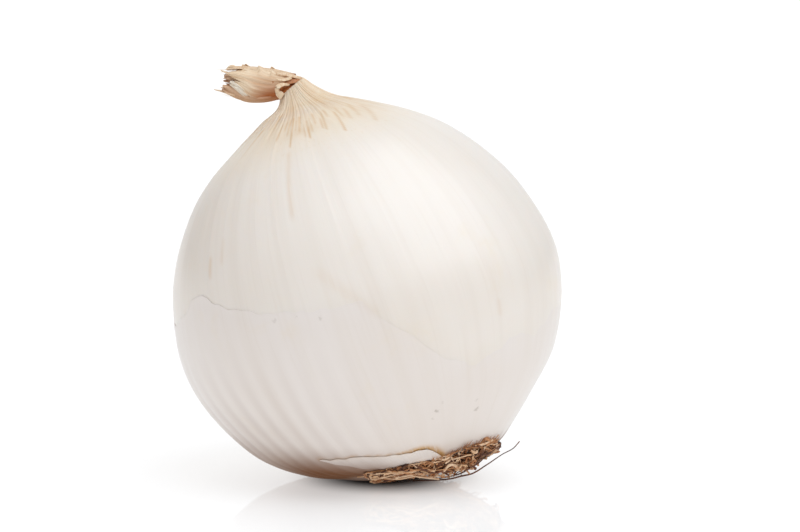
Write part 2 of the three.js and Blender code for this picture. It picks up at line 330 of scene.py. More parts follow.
# %% Relief
VEINS = 52
PLEATS = 26
relief_draw = random.Random(8)
VEIN_STRENGTHS = np.array([relief_draw.random() ** 2 for _ in range(VEINS)])
CREASE_DEPTHS = np.array([relief_draw.uniform(0.04, 0.2) for _ in range(3 * PLEATS)])


def lines_round(turn, strengths, width):
    """Narrow lines evenly round the axis, each with its own strength."""
    place = turn / (2 * math.pi) * len(strengths)
    nearest = np.round(place)
    return strengths[nearest.astype(int) % len(strengths)] * bump(place, nearest, width)


def vein_swing(turn, height):
    """Veins wander a little sideways on their way up."""
    return turn + 0.02 * np.sin(2 * turn + height / 19) + 0.014 * np.sin(5 * turn - height / 12)


def relief(turn, radius, height):
    """How far the skin stands out from the plain outline, in mm."""
    uneven = 0.22 * np.cos(3 * turn + 0.9) + 0.16 * np.cos(5 * turn + 2.2 + height / 25)
    swing = vein_swing(turn, height)
    strong_side = turn_bump(turn, 208, 40) * (1 - smooth_step(height, 20, 44))
    ridges = 0.15 * strong_side * np.cos(VEINS * swing) * (0.75 + 0.25 * np.cos(9 * turn))
    plain_side = 0.5 * turn_bump(turn, 315, 50)
    fine = 0.07 * lines_round(swing, VEIN_STRENGTHS, 0.16) * (1 - 0.8 * strong_side) * (1 - plain_side)
    gather = smooth_step(height, 69, 80)
    pleat = 0.05 * gather * np.cos(PLEATS * turn + 0.6 * np.sin(3 * turn + 1))
    crease = -smooth_step(height, 74, 81) * lines_round(turn + 0.01 * np.sin(height), CREASE_DEPTHS, 0.17)
    body = uneven * smooth_step(radius, 6, 30) + (ridges + fine) * smooth_step(radius, 9, 20)
    return body + pleat + crease


print("strongest vein:", round(float(VEIN_STRENGTHS.max()), 2), "of 1, out of", VEINS)

# %% [markdown]
# ## Points of the skin
#
# A place on the skin is named by its turn round the axis and its share of the outline. This helper
# gives its point in space. A real onion isn't quite round, so the side that it lies on is flatter,
# one shoulder is lower, and the underside curves up beside the spot that the onion rests on.

# %% Skin points
FOLD_SLOPE = math.tan(math.radians(21.8))  # the rim of the sheath is cut at a slant
# how far, in mm, the underside curves up on the left of the spot that the onion rests on, and where
LEFT_RISE = 0.75
LEFT_RISE_AT = -15.5
LEFT_RISE_WIDTH = 6
TOUCHING_LAYER = -0.05  # how far out, in mm, the skin that touches the floor lies; deeper skin stays above
# height, and how far the middle of the bulb is off its axis there, in mm
MIDDLE_LINE = np.array([(0, 0), (36, 0), (60, -0.6), (72, -0.6), (79, -0.1), (FOLD_HEIGHT, -0.5)])


def skin_points(turn, share, raised=0.0, squeeze=1.0, sunk=0.0):
    """Points of the skin in metres. Squeeze 0 puts them on the axis, and sunk lowers them along it."""
    radius, height = outline_at(share)
    ahead_radius, ahead_height = outline_at(share + 0.001)
    behind_radius, behind_height = outline_at(share - 0.001)
    run = np.stack([ahead_radius - behind_radius, ahead_height - behind_height])
    run /= np.linalg.norm(run, axis=0)
    out = relief(turn, radius, height) + raised
    reach = (radius + out * run[1]) * squeeze
    level = height - out * run[0] - sunk
    middle = np.interp(height, MIDDLE_LINE[:, 0], MIDDLE_LINE[:, 1])
    x = reach * np.cos(turn) + middle
    # the side that it lies on is flatter, the rim of the sheath is slanted, and one shoulder is lower
    rest_side = math.radians(5) * bump(radius, 15.5, 5) - math.radians(1.4) * bump(radius, 27.5, 4.5)
    lift = -x * np.tan(rest_side) * (1 - smooth_step(height, 12, 30))
    lift += smooth_step(height, 79.5, FOLD_HEIGHT) * FOLD_SLOPE * (x + 0.6)
    lift -= 0.25 * bump(x, 24, 7) * smooth_step(height, 58, 68)
    points = on_axis(x, reach * np.sin(turn), level + lift)
    underneath = 1 - smooth_step(points[:, 2], 3, 7)
    points[:, 2] += LEFT_RISE * bump(points[:, 0], LEFT_RISE_AT, LEFT_RISE_WIDTH) * underneath
    lowest = np.maximum(TOUCHING_LAYER - np.asarray(raised), 0)
    points[:, 2] = np.maximum(points[:, 2], lowest)
    return points * MM


print("top of the skin in mm:", np.round(skin_points(np.zeros(1), np.ones(1))[0] / MM, 1))

# %% [markdown]
# ## A grid to start from
#
# Most of the pieces are sheets, and a sheet starts as a flat grid whose vertices are then moved by a
# formula. Everything is deselected before a primitive is added, because an operator acts on all that
# is selected. A finished piece keeps its object at the origin, with its place in its mesh.

# %% Grid helpers
def select_only(*objects):
    if bpy.context.object and bpy.context.object.mode != "OBJECT":
        bpy.ops.object.mode_set(mode="OBJECT")
    bpy.ops.object.select_all(action="DESELECT")
    for one in objects:
        one.select_set(True)
    bpy.context.view_layer.objects.active = objects[0] if objects else None


def vertex_places(mesh):
    """The place of every vertex, in metres."""
    places = np.empty(len(mesh.vertices) * 3)
    mesh.vertices.foreach_get("co", places)
    return places.reshape(-1, 3)


def set_vertex_places(mesh, places):
    mesh.vertices.foreach_set("co", np.ascontiguousarray(places, dtype=np.float64).ravel())
    mesh.update()


def add_grid(name, columns, rows):
    """A flat grid from (0, 0) to (1, 1), and the two shares of each of its vertices."""
    select_only()
    bpy.ops.mesh.primitive_grid_add(x_subdivisions=columns, y_subdivisions=rows, size=1)
    piece = bpy.context.object
    piece.name = piece.data.name = name
    places = vertex_places(piece.data)
    return piece, places[:, 0] + 0.5, places[:, 1] + 0.5


# %% [markdown]
# ## Walls and welds
#
# Skin and leaves have a thickness. Solidify gives it to a sheet, which is simpler than drawing both
# sides. Where a grid is wrapped into a ring its ends only lie on each other, and a merge joins them.

# %% Wall helpers
MERGE_DISTANCE = 0.000001


def make_solid(piece, thickness, inwards=True):
    """Gives a sheet its thickness, in mm, and applies it."""
    select_only(piece)
    wall = piece.modifiers.new("wall", "SOLIDIFY")
    wall.thickness = thickness * MM
    wall.offset = -1 if inwards else 0
    bpy.ops.object.modifier_apply(modifier=wall.name)


def weld(piece):
    """Merges vertices that lie on each other, and turns all faces outwards."""
    select_only(piece)
    bpy.ops.object.mode_set(mode="EDIT")
    bpy.ops.mesh.select_all(action="SELECT")
    bpy.ops.mesh.remove_doubles(threshold=MERGE_DISTANCE)
    bpy.ops.mesh.normals_make_consistent(inside=False)
    bpy.ops.object.mode_set(mode="OBJECT")


print("vertices merge when closer than", MERGE_DISTANCE / MM, "mm")

# %% [markdown]
# ## What the finishes read
#
# A finish can read two things from a mesh: values stored at its vertices, such as how stained each
# one is, and a map that unrolls the skin. Both move with the mesh, so the marks stay where they are.

# %% Value and map helpers
def give_values(piece, name, values):
    """Stores a value at each vertex, for the finish to read."""
    store = piece.data.attributes.new(name, "FLOAT", "POINT")
    store.data.foreach_set("value", np.ascontiguousarray(values, dtype=np.float32))


def read_values(piece, name):
    values = np.empty(len(piece.data.vertices), dtype=np.float32)
    piece.data.attributes[name].data.foreach_get("value", values)
    return values


def vertex_of_corner(mesh):
    """For every corner of every face, the vertex that it stands on."""
    corners = np.empty(len(mesh.loops), dtype=int)
    mesh.loops.foreach_get("vertex_index", corners)
    return corners


def chart_skin(piece, turn, share):
    """Maps the skin: one full turn is 1 across, and the outline is 1 up."""
    mesh = piece.data
    chart = mesh.uv_layers.new(name="skin")
    corners = vertex_of_corner(mesh)
    across = (turn[corners] / (2 * math.pi)) % 1
    starts = np.empty(len(mesh.polygons), dtype=int)
    mesh.polygons.foreach_get("loop_start", starts)
    face_of_corner = np.repeat(np.arange(len(starts)), np.diff(np.append(starts, len(across))))
    # a face across the seam has corners at both ends of the map, so its low corners move up a turn
    widest = np.maximum.reduceat(across, starts)[face_of_corner]
    across = np.where(widest - across > 0.5, across + 1, across)
    chart.data.foreach_set("uv", np.stack([across, share[corners]], axis=1).astype(np.float32).ravel())


def dress(piece, material, node):
    """Smooth faces, a finish, and a place in the frame."""
    select_only(piece)
    bpy.ops.object.shade_smooth()
    piece.data.materials.clear()
    piece.data.materials.append(material)
    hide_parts(node)
    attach(piece, "root")
    print(piece.name, "has", len(piece.data.polygons), "faces")


print("materials so far:", len(bpy.data.materials))

# %% [markdown]
# ## A helper for finishes
#
# A finish is a network of shader nodes. It could be wired by hand in the shader editor, but the
# skins, leaves and roots all need much the same parts. This helper gives each kind of node a short
# call, so that a finish can be read from top to bottom.

# %% A helper for finishes
def srgb(red, green, blue):
    """A colour of 0 to 255 as the linear light that a shader takes."""
    shares = np.array([red, green, blue]) / 255
    linear = np.where(shares <= 0.04045, shares / 12.92, ((shares + 0.055) / 1.055) ** 2.4)
    return (*linear, 1)


class Finish:
    """A new material, with short ways to add its nodes."""

    def __init__(self, name):
        self.material = bpy.data.materials.new(name)
        self.material.use_nodes = True
        self.nodes = self.material.node_tree.nodes
        self.links = self.material.node_tree.links
        self.shader = self.nodes["Principled BSDF"]
        self.place = self.add("TexCoord").outputs["Object"]

    def add(self, kind, inputs=None, **settings):
        node = self.nodes.new("ShaderNode" + kind)
        for name, value in settings.items():
            setattr(node, name, value)
        for name, value in (inputs or {}).items():
            self.feed(node.inputs[name], value)
        return node

    def feed(self, socket, value):
        if isinstance(value, bpy.types.NodeSocket):
            self.links.new(value, socket)
        else:
            socket.default_value = value

    def set(self, **values):
        """Fixed values go straight on the shader's own sockets."""
        for name, value in values.items():
            self.shader.inputs[name.replace("_", " ").title().replace("Ior", "IOR")].default_value = value

    def attribute(self, name):
        return self.add("Attribute", attribute_name=name).outputs["Fac"]

    def math(self, operation, first, second, clamp=False):
        return self.add("Math", {0: first, 1: second}, operation=operation, use_clamp=clamp).outputs[0]

    def noise(self, vector, scale, detail=3.0, roughness=0.5):
        sockets = {"Vector": vector, "Scale": scale, "Detail": detail, "Roughness": roughness}
        return self.add("TexNoise", sockets).outputs["Fac"]

    def stretch(self, vector, scale):
        return self.add("Mapping", {"Vector": vector, "Scale": scale}).outputs["Vector"]

    def between(self, value, low, high, top=1.0):
        sockets = {"Value": value, "From Min": low, "From Max": high, "To Max": top}
        return self.add("MapRange", sockets, interpolation_type="SMOOTHSTEP").outputs["Result"]

    def mix(self, share, first, second):
        node = self.add("Mix", data_type="RGBA")
        self.feed(node.inputs[0], share)
        self.feed(node.inputs[6], first)
        self.feed(node.inputs[7], second)
        return node.outputs[2]

    def bump(self, height, distance, under=None):
        sockets = {"Height": height, "Distance": distance}
        if under is not None:
            sockets["Normal"] = under
        return self.add("Bump", sockets).outputs["Normal"]


print("mid grey as a shader takes it:", round(float(srgb(128, 128, 128)[0]), 3))

# %% [markdown]
# ## The finish of the skin
#
# Onion skin is thin, pale and a little glossy. Its colour runs in soft bands along the veins, so the
# bands are drawn on a map of the skin, round the axis one way and up it the other. Stains and painted
# shade belong to places instead: the mesh stores how strong each one is at each vertex, and the finish
# breaks them up with noise. Small dark spots are balls of colour at places of their own.

# %% Skin finish
# degrees round, height up the axis, radius and strength of each dark spot, in mm
SPOTS = [
    (244, 42, 0.65, 0.17), (250.8, 41.4, 0.4, 0.14), (257.3, 39.6, 0.6, 0.22),
    (282.2, 14.3, 0.6, 0.45), (284.6, 15.6, 0.5, 0.22), (280.2, 13.1, 0.5, 0.2),
    (300.4, 11.5, 0.8, 0.4), (299.4, 13.4, 0.5, 0.22),
    (60, 30, 0.7, 0.35), (95, 52, 0.6, 0.3), (140, 24, 0.8, 0.35), (12, 47, 0.6, 0.25), (172, 60, 0.7, 0.3),
]
SPOT_COLOUR = srgb(138, 118, 94)
SPOT_LIFT = 0.0006  # metres up from the skin's point, to the middle of the ball of colour
SPOT_WOBBLE = (0.0012,) * 3  # metres, how far noise pushes the edge of a spot
# each mark, stain and painted shade alike: its colour, and the noise below which it is missing
STAINS_AND_SHADE = (
    ("blush_and_groove_shade", srgb(206, 190, 180), -0.4),
    ("warm", srgb(236, 214, 180), 0.0),
    ("golden", srgb(206, 156, 84), 0.12),
    ("deep", srgb(116, 68, 20), -0.3),
)
COAT = 0.9
COAT_ROUGHNESS = 0.42
COAT_IOR = 1.65
FLESH_GLOW = (1.0, 0.72, 0.5)  # how far red, green and blue light travel inside, next to each other
FLESH_DEPTH = 0.0025  # and the distance that 1 stands for, in metres


def skin_finish(name, light, dark, gloss, flesh=0.0):
    """Papery skin: two tints, soft bands along the veins, stains, painted shade and spots."""
    skin = Finish(name)
    chart = skin.add("UVMap", uv_map="skin").outputs["UV"]
    cloud = skin.noise(skin.place, 24)
    colour = skin.mix(skin.between(cloud, 0.3, 0.7), light, dark)
    band = skin.noise(skin.stretch(chart, (VEINS, 1.5, 1)), 1.2, detail=2)
    colour = skin.mix(skin.between(band, 0.42, 0.68, 0.3), colour, srgb(230, 218, 206))
    grain = skin.noise(skin.stretch(chart, (VEINS * 6, 5, 1)), 1.0, detail=4)
    colour = skin.mix(skin.between(grain, 0.5, 0.85, 0.18), colour, srgb(216, 200, 184))
    patch = skin.noise(skin.place, 90, detail=4, roughness=0.65)
    colour = skin.mix(skin.between(patch, 0.55, 0.8, 0.3), colour, srgb(236, 218, 190))
    speckle = skin.noise(skin.stretch(chart, (VEINS * 3, 60, 1)), 1.6, detail=3, roughness=0.7)
    flecks = skin.between(speckle, 0.56, 0.72, 0.9)
    fleck = skin.math("MULTIPLY", skin.attribute("warm"), flecks, clamp=True)
    colour = skin.mix(fleck, colour, srgb(214, 176, 122))
    broken = skin.noise(skin.stretch(chart, (VEINS * 5, 26, 1)), 1.0, detail=4)
    for marking, tint, low in STAINS_AND_SHADE:
        stored, uneven = skin.attribute(marking), skin.between(broken, low, low + 0.45)
        colour = skin.mix(skin.math("MULTIPLY", stored, uneven, clamp=True), colour, tint)
    shifted = skin.add("TexNoise", {"Vector": skin.place, "Scale": 1500, "Detail": 2}).outputs["Color"]
    wobble = {0: shifted, 1: SPOT_WOBBLE, 2: skin.place}
    near = skin.add("VectorMath", wobble, operation="MULTIPLY_ADD").outputs[0]
    for degrees, height, radius, strength in SPOTS:
        share = share_at_height(height)
        spot = skin_points(np.radians([degrees]), np.array([share]))[0] + SPOT_LIFT
        away = skin.add("VectorMath", {0: near, 1: spot}, operation="DISTANCE").outputs["Value"]
        colour = skin.mix(skin.between(away, radius * MM, radius * MM * 0.2, strength), colour, SPOT_COLOUR)
    skin.feed(skin.shader.inputs["Base Color"], colour)
    brown_and_shade = {"Value": skin.attribute("deep"), "From Min": 0.05, "From Max": 0.6}
    # where the skin is deep brown, stain and painted shade alike, it has no gloss; stained skin is dry
    coat = skin.add("MapRange", {**brown_and_shade, "To Min": COAT, "To Max": 0.0})
    skin.feed(skin.shader.inputs["Coat Weight"], coat.outputs["Result"])
    dry = skin.add("MapRange", {**brown_and_shade, "To Max": 0.45}).outputs["Result"]
    roughness = skin.add("MapRange", {"Value": patch, "To Min": gloss - 0.05, "To Max": gloss + 0.08})
    skin.feed(skin.shader.inputs["Roughness"], skin.math("ADD", roughness.outputs["Result"], dry))
    skin.set(subsurface_weight=flesh, subsurface_radius=FLESH_GLOW, subsurface_scale=FLESH_DEPTH)
    skin.set(coat_roughness=COAT_ROUGHNESS, coat_ior=COAT_IOR)
    paper = skin.noise(skin.place, 500, detail=3)
    skin.feed(skin.shader.inputs["Normal"], skin.bump(paper, 0.00002, under=skin.bump(grain, 0.00003)))
    return skin.material


inner_skin_finish = skin_finish("inner_skin", srgb(240, 231, 222), srgb(236, 225, 213), 0.3, flesh=0.15)
outer_skin_finish = skin_finish("outer_skin", srgb(238, 229, 223), srgb(234, 223, 214), 0.34)
print("skin finishes:", inner_skin_finish.name, outer_skin_finish.name)

# %% [markdown]
# ## The bulb
#
# The bulb could be a sphere pushed into shape, but an outline spun round its axis is closer to how
# it grew, and every point then knows its place: how far round, and how far up. A single point is
# extruded along the outline, Spin turns it round, and the relief then moves each point of the skin.
# At the top the outline turns inwards and down, because the neck is a dry sheath that is open there.

# %% Bulb
SKIN_COLUMNS = 10 * VEINS
RINGS_PER_STRETCH = 8
INNER_SKIN_DEPTH = 0.14  # under the torn outer skin, in mm
# inside the sheath: share of its radius, and how far below its rim in mm
SHEATH_INSIDE = [(0.93, -0.12), (0.82, 0.1), (0.74, 0.8), (0.66, 1.7), (0.4, 2.3), (0, 2.4)]


def spin_outline(name, radii, heights, columns):
    """Draws an outline point by point, and spins it round the axis."""
    select_only()
    bpy.ops.mesh.primitive_plane_add(size=0.001)
    piece = bpy.context.object
    piece.name = piece.data.name = name
    bpy.ops.object.mode_set(mode="EDIT")
    bpy.ops.mesh.merge(type="CENTER")
    bpy.ops.transform.translate(value=(radii[0] * MM, 0, heights[0] * MM))
    for index in range(1, len(radii)):
        step = ((radii[index] - radii[index - 1]) * MM, 0, (heights[index] - heights[index - 1]) * MM)
        bpy.ops.mesh.extrude_region_move(TRANSFORM_OT_translate={"value": step})
    bpy.ops.object.mode_set(mode="OBJECT")
    # each point keeps its number through the spin, so its copies still know their ring
    give_values(piece, "ring", np.arange(len(radii)))
    bpy.ops.object.mode_set(mode="EDIT")
    bpy.ops.mesh.select_all(action="SELECT")
    bpy.ops.mesh.spin(steps=columns, angle=2 * math.pi, center=(0, 0, 0), axis=(0, 0, 1))
    bpy.ops.object.mode_set(mode="OBJECT")
    weld(piece)
    return piece


def add_bulb():
    rings = (len(BULB_OUTLINE) - 1) * RINGS_PER_STRETCH + 1
    share = np.concatenate([[0], np.linspace(0, 1, rings), np.ones(len(SHEATH_INSIDE))])
    squeeze = np.concatenate([[0], np.ones(rings), [inside for inside, _ in SHEATH_INSIDE]])
    sunk = np.concatenate([np.zeros(rings + 1), [below for _, below in SHEATH_INSIDE]])
    radii, heights = outline_at(share)
    piece = spin_outline("bulb_skin", radii * squeeze, heights - sunk, SKIN_COLUMNS)
    places = vertex_places(piece.data)
    turn = np.arctan2(places[:, 1], places[:, 0])
    ring = np.round(read_values(piece, "ring")).astype(int)
    points = skin_points(turn, share[ring], -INNER_SKIN_DEPTH, squeeze[ring], sunk[ring])
    set_vertex_places(piece.data, points)
    chart_skin(piece, turn, share[ring])
    return piece, share[ring], sunk[ring]


bulb_skin, bulb_share, bulb_sunk = add_bulb()
print("points on the bulb's skin:", len(bulb_share))

# %% [markdown]
# ## Stains and painted shade
#
# Each mark is a line on the skin, given by the degrees round and the heights that it runs through,
# and a vertex is marked the more the nearer it is to the line. Streaks gather at the neck, golden
# painted shade runs along a crease, the upper edge of the torn strip is golden with stain and painted
# shade, and the skin browns where it meets the roots.

# %% Where the stains lie
# degrees and height of the top, the same of the bottom, half width in mm, strength
NECK_STREAKS = [
    (250, 77.6, 249, 75, 0.22, 0.8),
    (254, 78, 253.4, 76.6, 0.3, 0.5),
    (258, 78.2, 256.4, 75.4, 0.22, 0.7),
    (261, 78.4, 259.4, 73.2, 0.2, 1.0),
    (264, 77.6, 262.6, 75.8, 0.2, 0.7),
    (267, 78.2, 266, 75.4, 0.3, 0.6),
    (270, 76.6, 269.4, 74.2, 0.2, 0.6),
    (272.8, 77, 271.9, 73.6, 0.22, 1.0),
    (276, 77.4, 274.6, 74.8, 0.2, 0.6),
    (280, 78, 279, 76, 0.3, 0.6),
    (284, 76.6, 281.6, 74.6, 0.2, 0.8),
    (287.9, 77.8, 283.4, 74.2, 0.22, 0.9),
    (292, 78, 290, 76.4, 0.26, 0.6),
    (298, 76.9, 292, 72.8, 0.22, 0.95),
    (303, 77.6, 299, 75.4, 0.22, 0.6),
    (308, 77, 302, 74.6, 0.26, 0.55),
    (318, 77.4, 309, 74.6, 0.38, 0.45),
    (326, 76.4, 312, 72.6, 0.45, 0.45),
    (258.8, 72, 257.2, 60, 0.5, 0.22),
    (223, 57.2, 222.6, 54.2, 0.5, 0.3),
    (229, 59.6, 228.6, 56, 0.5, 0.15),
    (309.5, 31.2, 309.4, 28.8, 0.6, 0.12),
]
LONG_STREAKS = 18  # the first ones, which run on faintly up to the neck
NECK_RIM = 80.6  # the height where those faint lines start, in mm
FAINT_HALF_WIDTH = 0.16
HIDDEN_STREAKS = 46  # round the sides and the back
BELOW = 30  # stains of the underside lie lower on the axis than this, in mm
# degrees and height along the crease
CREASE = [(261, 48), (269, 40.8), (272, 37.5)]
# degrees and radius along the torn strip above the roots
FLAP_UPPER = [
    (229.8, 29.1), (237.2, 28.2), (242.5, 27.7), (248, 26.7), (253.5, 25.3), (261.2, 23.7), (266.5, 23.1),
    (271, 22.9), (275, 22.1), (278, 21.1), (281.2, 19.3), (283.8, 17.9),
]
print("streaks by hand:", len(NECK_STREAKS))

# %% [markdown]
# ## How near a line on the skin is
#
# A line on the skin is cut into short straight runs. The distance from the nearest run is then all
# that a stain needs to know, whatever the line's shape.

# %% Line helpers
def skin_line(corners, samples=5):
    """Points in mm on the skin, through corners given as degrees round and share of the outline."""
    degrees, shares = np.array(corners).T
    steps = np.linspace(0, len(corners) - 1, (len(corners) - 1) * samples + 1)
    places = np.arange(len(corners))
    return skin_points(np.radians(np.interp(steps, places, degrees)), np.interp(steps, places, shares)) / MM


def away_from_line(places, line):
    """Distance in mm of each place from a line through points."""
    nearest = np.full(len(places), np.inf)
    for start, end in zip(line[:-1], line[1:]):
        run = end - start
        share = np.clip((places - start) @ run / (run @ run), 0, 1)
        nearest = np.minimum(nearest, np.linalg.norm(places - start - share[:, None] * run, axis=1))
    return nearest


crease_corners = [(degrees, share_at_height(level)) for degrees, level in CREASE]
print("points on the crease:", len(skin_line(crease_corners)))

# %% [markdown]
# ## Golden marks
#
# Streaks run down from the neck where the dried leaves left their sap. Hidden ones are drawn with a
# fixed seed, so that the back is as marked as the front and the same every time.

# %% Golden stains
def all_streaks():
    """The streaks above, faint lines from them up to the neck, and hidden ones round the back."""
    draw = random.Random(5)
    streaks = [(*streak, 0) for streak in NECK_STREAKS]
    for degrees, top, _, _, _, strength in NECK_STREAKS[:LONG_STREAKS]:
        streaks.append((degrees, NECK_RIM, degrees, top, FAINT_HALF_WIDTH, 0.5 * strength, 0))
    for _ in range(HIDDEN_STREAKS):
        degrees, top = draw.uniform(-25, 245), draw.uniform(78, 80)
        length, half_width, strength = draw.uniform(2.5, 7), draw.uniform(0.2, 0.3), draw.uniform(0.3, 0.9)
        streaks.append((degrees, top, degrees - 1, top - length, half_width, strength, 1))
    return streaks


def golden_stain_and_shade(places, turn, height):
    """Streaks, the crease in painted shade, the edge of the torn strip in stain and painted shade, and a
    golden cast over the sheath.
    """
    golden = np.zeros(len(places))
    for top_degrees, top, bottom_degrees, bottom, half_width, strength, fading in all_streaks():
        line = skin_line([(top_degrees, share_at_height(top)), (bottom_degrees, share_at_height(bottom))])
        left = 1 - fading * (1 - smooth_step(height, bottom, top))
        golden = np.maximum(golden, strength * left * bump(away_from_line(places, line), 0, half_width))
    # painted shade, golden, along the crease
    golden += 0.09 * bump(away_from_line(places, skin_line(crease_corners)), 0, 1.1)
    # the strip's upper edge is painted golden: painted shade all along the edge, and on the right a real
    # golden stain as well
    strip = skin_line([(degrees, share_at_radius(reach)) for degrees, reach in FLAP_UPPER])
    rightwards = smooth_step(np.degrees(turn) % 360, 252, 275)
    strip_edge = bump(away_from_line(places, strip), 0, 0.4 + 0.6 * rightwards)
    golden += (0.5 + 0.8 * rightwards) * strip_edge * (height < BELOW)
    sheath = smooth_step(height, 76.5, 79.5)
    golden += sheath * (0.2 + 0.2 * turn_bump(turn, 322, 36) + 0.1 * np.cos(8 * turn + 2))
    golden += 0.26 * turn_bump(turn, 335, 34) * bump(height, 76.2, 2)
    golden += 0.2 * turn_bump(turn, 266, 15) * bump(height, 75.4, 0.8)
    return golden


print("streaks in all:", len(all_streaks()))

# %% [markdown]
# ## Stains and painted shade on the bulb
#
# The other marks are bands and patches: warm round the neck, a blush round the foot of the sheath,
# greyish pink painted shade in the grooves between the ridges, and deep brown round the roots, on the
# underside, where it is part stain and part painted shade darker towards the floor, and inside the
# sheath, where it is painted shade. Each is stored by name, for the finish to mix in.

# %% Stain the bulb
def paint_stains_and_shade(piece, share, sunk=0.0):
    """Stores how blushed, warm, golden and deep brown each vertex is, as stains and painted shade."""
    places = vertex_places(piece.data) / MM
    radius, height = outline_at(share)
    from_plate = places - PLATE_PLACE
    turn = np.arctan2(from_plate @ BACK_AXIS, from_plate @ SIDE_AXIS)
    warm = 0.6 * smooth_step(height, 68, 78)
    warm += 0.12 * turn_bump(turn, 335, 40) * smooth_step(height, 62, 74)
    warm -= 0.3 * turn_bump(turn, 262, 60) * bump(height, 79, 0.8)
    ridged = turn_bump(turn, 208, 40) * (1 - smooth_step(height, 20, 44))
    # greyish pink painted shade in the grooves between the ridges; the line after adds a real pink blush
    # round the foot of the sheath
    blush_and_groove_shade = 0.5 * ridged * (0.5 - 0.5 * np.cos(VEINS * vein_swing(turn, height)))
    blush_and_groove_shade += 0.15 * bump(height, 79, 0.7)
    below = height < BELOW
    ragged = 20 + 0.8 * np.cos(23 * turn) + 0.6 * np.cos(41 * turn)
    root_ring = below * (1 - smooth_step(radius, 15.5, ragged))
    level = places[:, 2]
    # the underside is painted deep brown, darker towards the floor: part brown staining, part painted shade
    # where the onion meets the floor; the next lines lighten it on the left and add painted shade to the low
    # rim at the left front
    underside_shade_and_stain = below * (1 - smooth_step(level, 4, 12.5)) * (0.36 + 0.52 * turn_bump(turn, 222, 60))
    underside_shade_and_stain *= 1 - 0.4 * bump(places[:, 0], -21, 6)
    underside_shade_and_stain += 0.14 * below * turn_bump(turn, 212, 30) * (1 - smooth_step(level, 9, 20))
    # deep brown also fills the inside of the sheath, as painted shade in its hollow
    deep = 0.7 * root_ring + underside_shade_and_stain * (1 - root_ring) + smooth_step(np.asarray(sunk), 0, 0.7)
    golden = golden_stain_and_shade(places, turn, height)
    for name, values in (("blush_and_groove_shade", blush_and_groove_shade), ("warm", warm), ("golden", golden), ("deep", deep)):
        give_values(piece, name, np.clip(values, 0, 1))


paint_stains_and_shade(bulb_skin, bulb_share, bulb_sunk)
dress(bulb_skin, inner_skin_finish, "bulb")

# %% [markdown]
# ## The torn outer skin
#
# The outermost skin has torn away from the upper half and still covers the lower half. It is its own
# thin sheet: a grid is wrapped round the bulb from the roots up to the torn edge, so the edge of the
# mesh is the tear itself. The edge stands off by a hair in places, and elsewhere lies so close that
# it can hardly be seen. Solidify then gives the sheet its thickness.

# %% Outer skin
SHEET_THICKNESS = 0.07
# degrees round, height of the tear and how far its edge stands off, in mm
TEAR = np.array([
    (0, 27, 0.06), (20, 31, 0.1), (42, 29.5, 0.05), (60, 36, 0.1), (84, 38.5, 0.06), (100, 35, 0.1),
    (118, 43, 0.1), (140, 45.5, 0.05), (160, 43, 0.1), (178, 47.5, 0.1), (192, 46.4, 0.08),
    (204.8, 48, 0.09), (212, 50.4, 0.1), (218, 51.4, 0.1), (222.6, 48.9, 0.09), (229, 47, 0.08),
    (238, 44.7, 0.06), (246, 43, 0.02), (256, 42, 0), (264, 41.4, 0), (270, 40, 0.03), (272.4, 36.6, 0.04),
    (278, 32.2, 0.06), (285, 26.1, 0.05), (290, 23.2, 0.03), (296, 21.4, 0), (312, 24, 0), (326, 22.6, 0),
    (340, 26.5, 0), (352, 25.6, 0.03), (360, 27, 0.06),
])
MOST_STANDOFF = 0.14  # an edge that stands off this much doesn't dive under the skin at all


def tear_at(turn):
    """Height of the tear, and how far its edge stands off."""
    degrees = np.degrees(turn) % 360
    ragged = 0.2 * np.sin(31 * turn) + 0.14 * np.sin(67 * turn + 1)
    wild = 0.9 * np.sin(9 * turn + 1) + 0.6 * np.sin(17 * turn + 2) + 0.3 * np.sin(43 * turn)
    ragged += wild * (1 - turn_bump(turn, 250, 75))
    height = np.interp(degrees, TEAR[:, 0], TEAR[:, 1]) + ragged
    return height, np.interp(degrees, TEAR[:, 0], TEAR[:, 2])


def follow_skin(piece, share):
    """The grid's own map already runs round the axis, and its height has to follow the skin."""
    mesh = piece.data
    chart = mesh.uv_layers[0]
    chart.name = "skin"
    places = np.empty(len(mesh.loops) * 2, dtype=np.float32)
    chart.data.foreach_get("uv", places)
    places[1::2] = share[vertex_of_corner(mesh)]
    chart.data.foreach_set("uv", places)


def add_outer_skin():
    piece, across, up = add_grid("outer_skin", 8 * VEINS, 72)
    turn = across * 2 * math.pi
    height, standoff = tear_at(turn)
    share = share_at_height(height) * (1 - (1 - up) ** 1.6)
    below = height - outline_at(share)[1]
    edge = 1 - smooth_step(below, 0, 1.4)
    dive = (1 - standoff / MOST_STANDOFF) * (1 - smooth_step(below, 0, 4))
    raised = -0.05 - (INNER_SKIN_DEPTH - 0.04) * dive + 0.65 * standoff * edge
    set_vertex_places(piece.data, skin_points(turn, share, raised))
    follow_skin(piece, share)
    paint_stains_and_shade(piece, share)
    weld(piece)
    make_solid(piece, SHEET_THICKNESS)
    return piece


outer_skin = add_outer_skin()
dress(outer_skin, outer_skin_finish, "bulb")

# %% [markdown]
# ## The strip of torn skin
#
# Just above the roots a strip of skin has torn loose along its upper edge. A thin grid follows the
# bulb, stands off it a little at the free edge and runs down under the roots.

# %% Skin flap
# degrees and radius along the strip's lower edge; its upper edge is the line painted golden above, as stain
# and painted shade
FLAP_LOWER = [
    (229.8, 28.9), (235, 26.6), (240, 23), (247, 20), (257, 18), (265, 16.5), (275, 15.8), (283.8, 17),
]
FLAP_STANDOFF = 0.2
FLAP_THICKNESS = 0.1


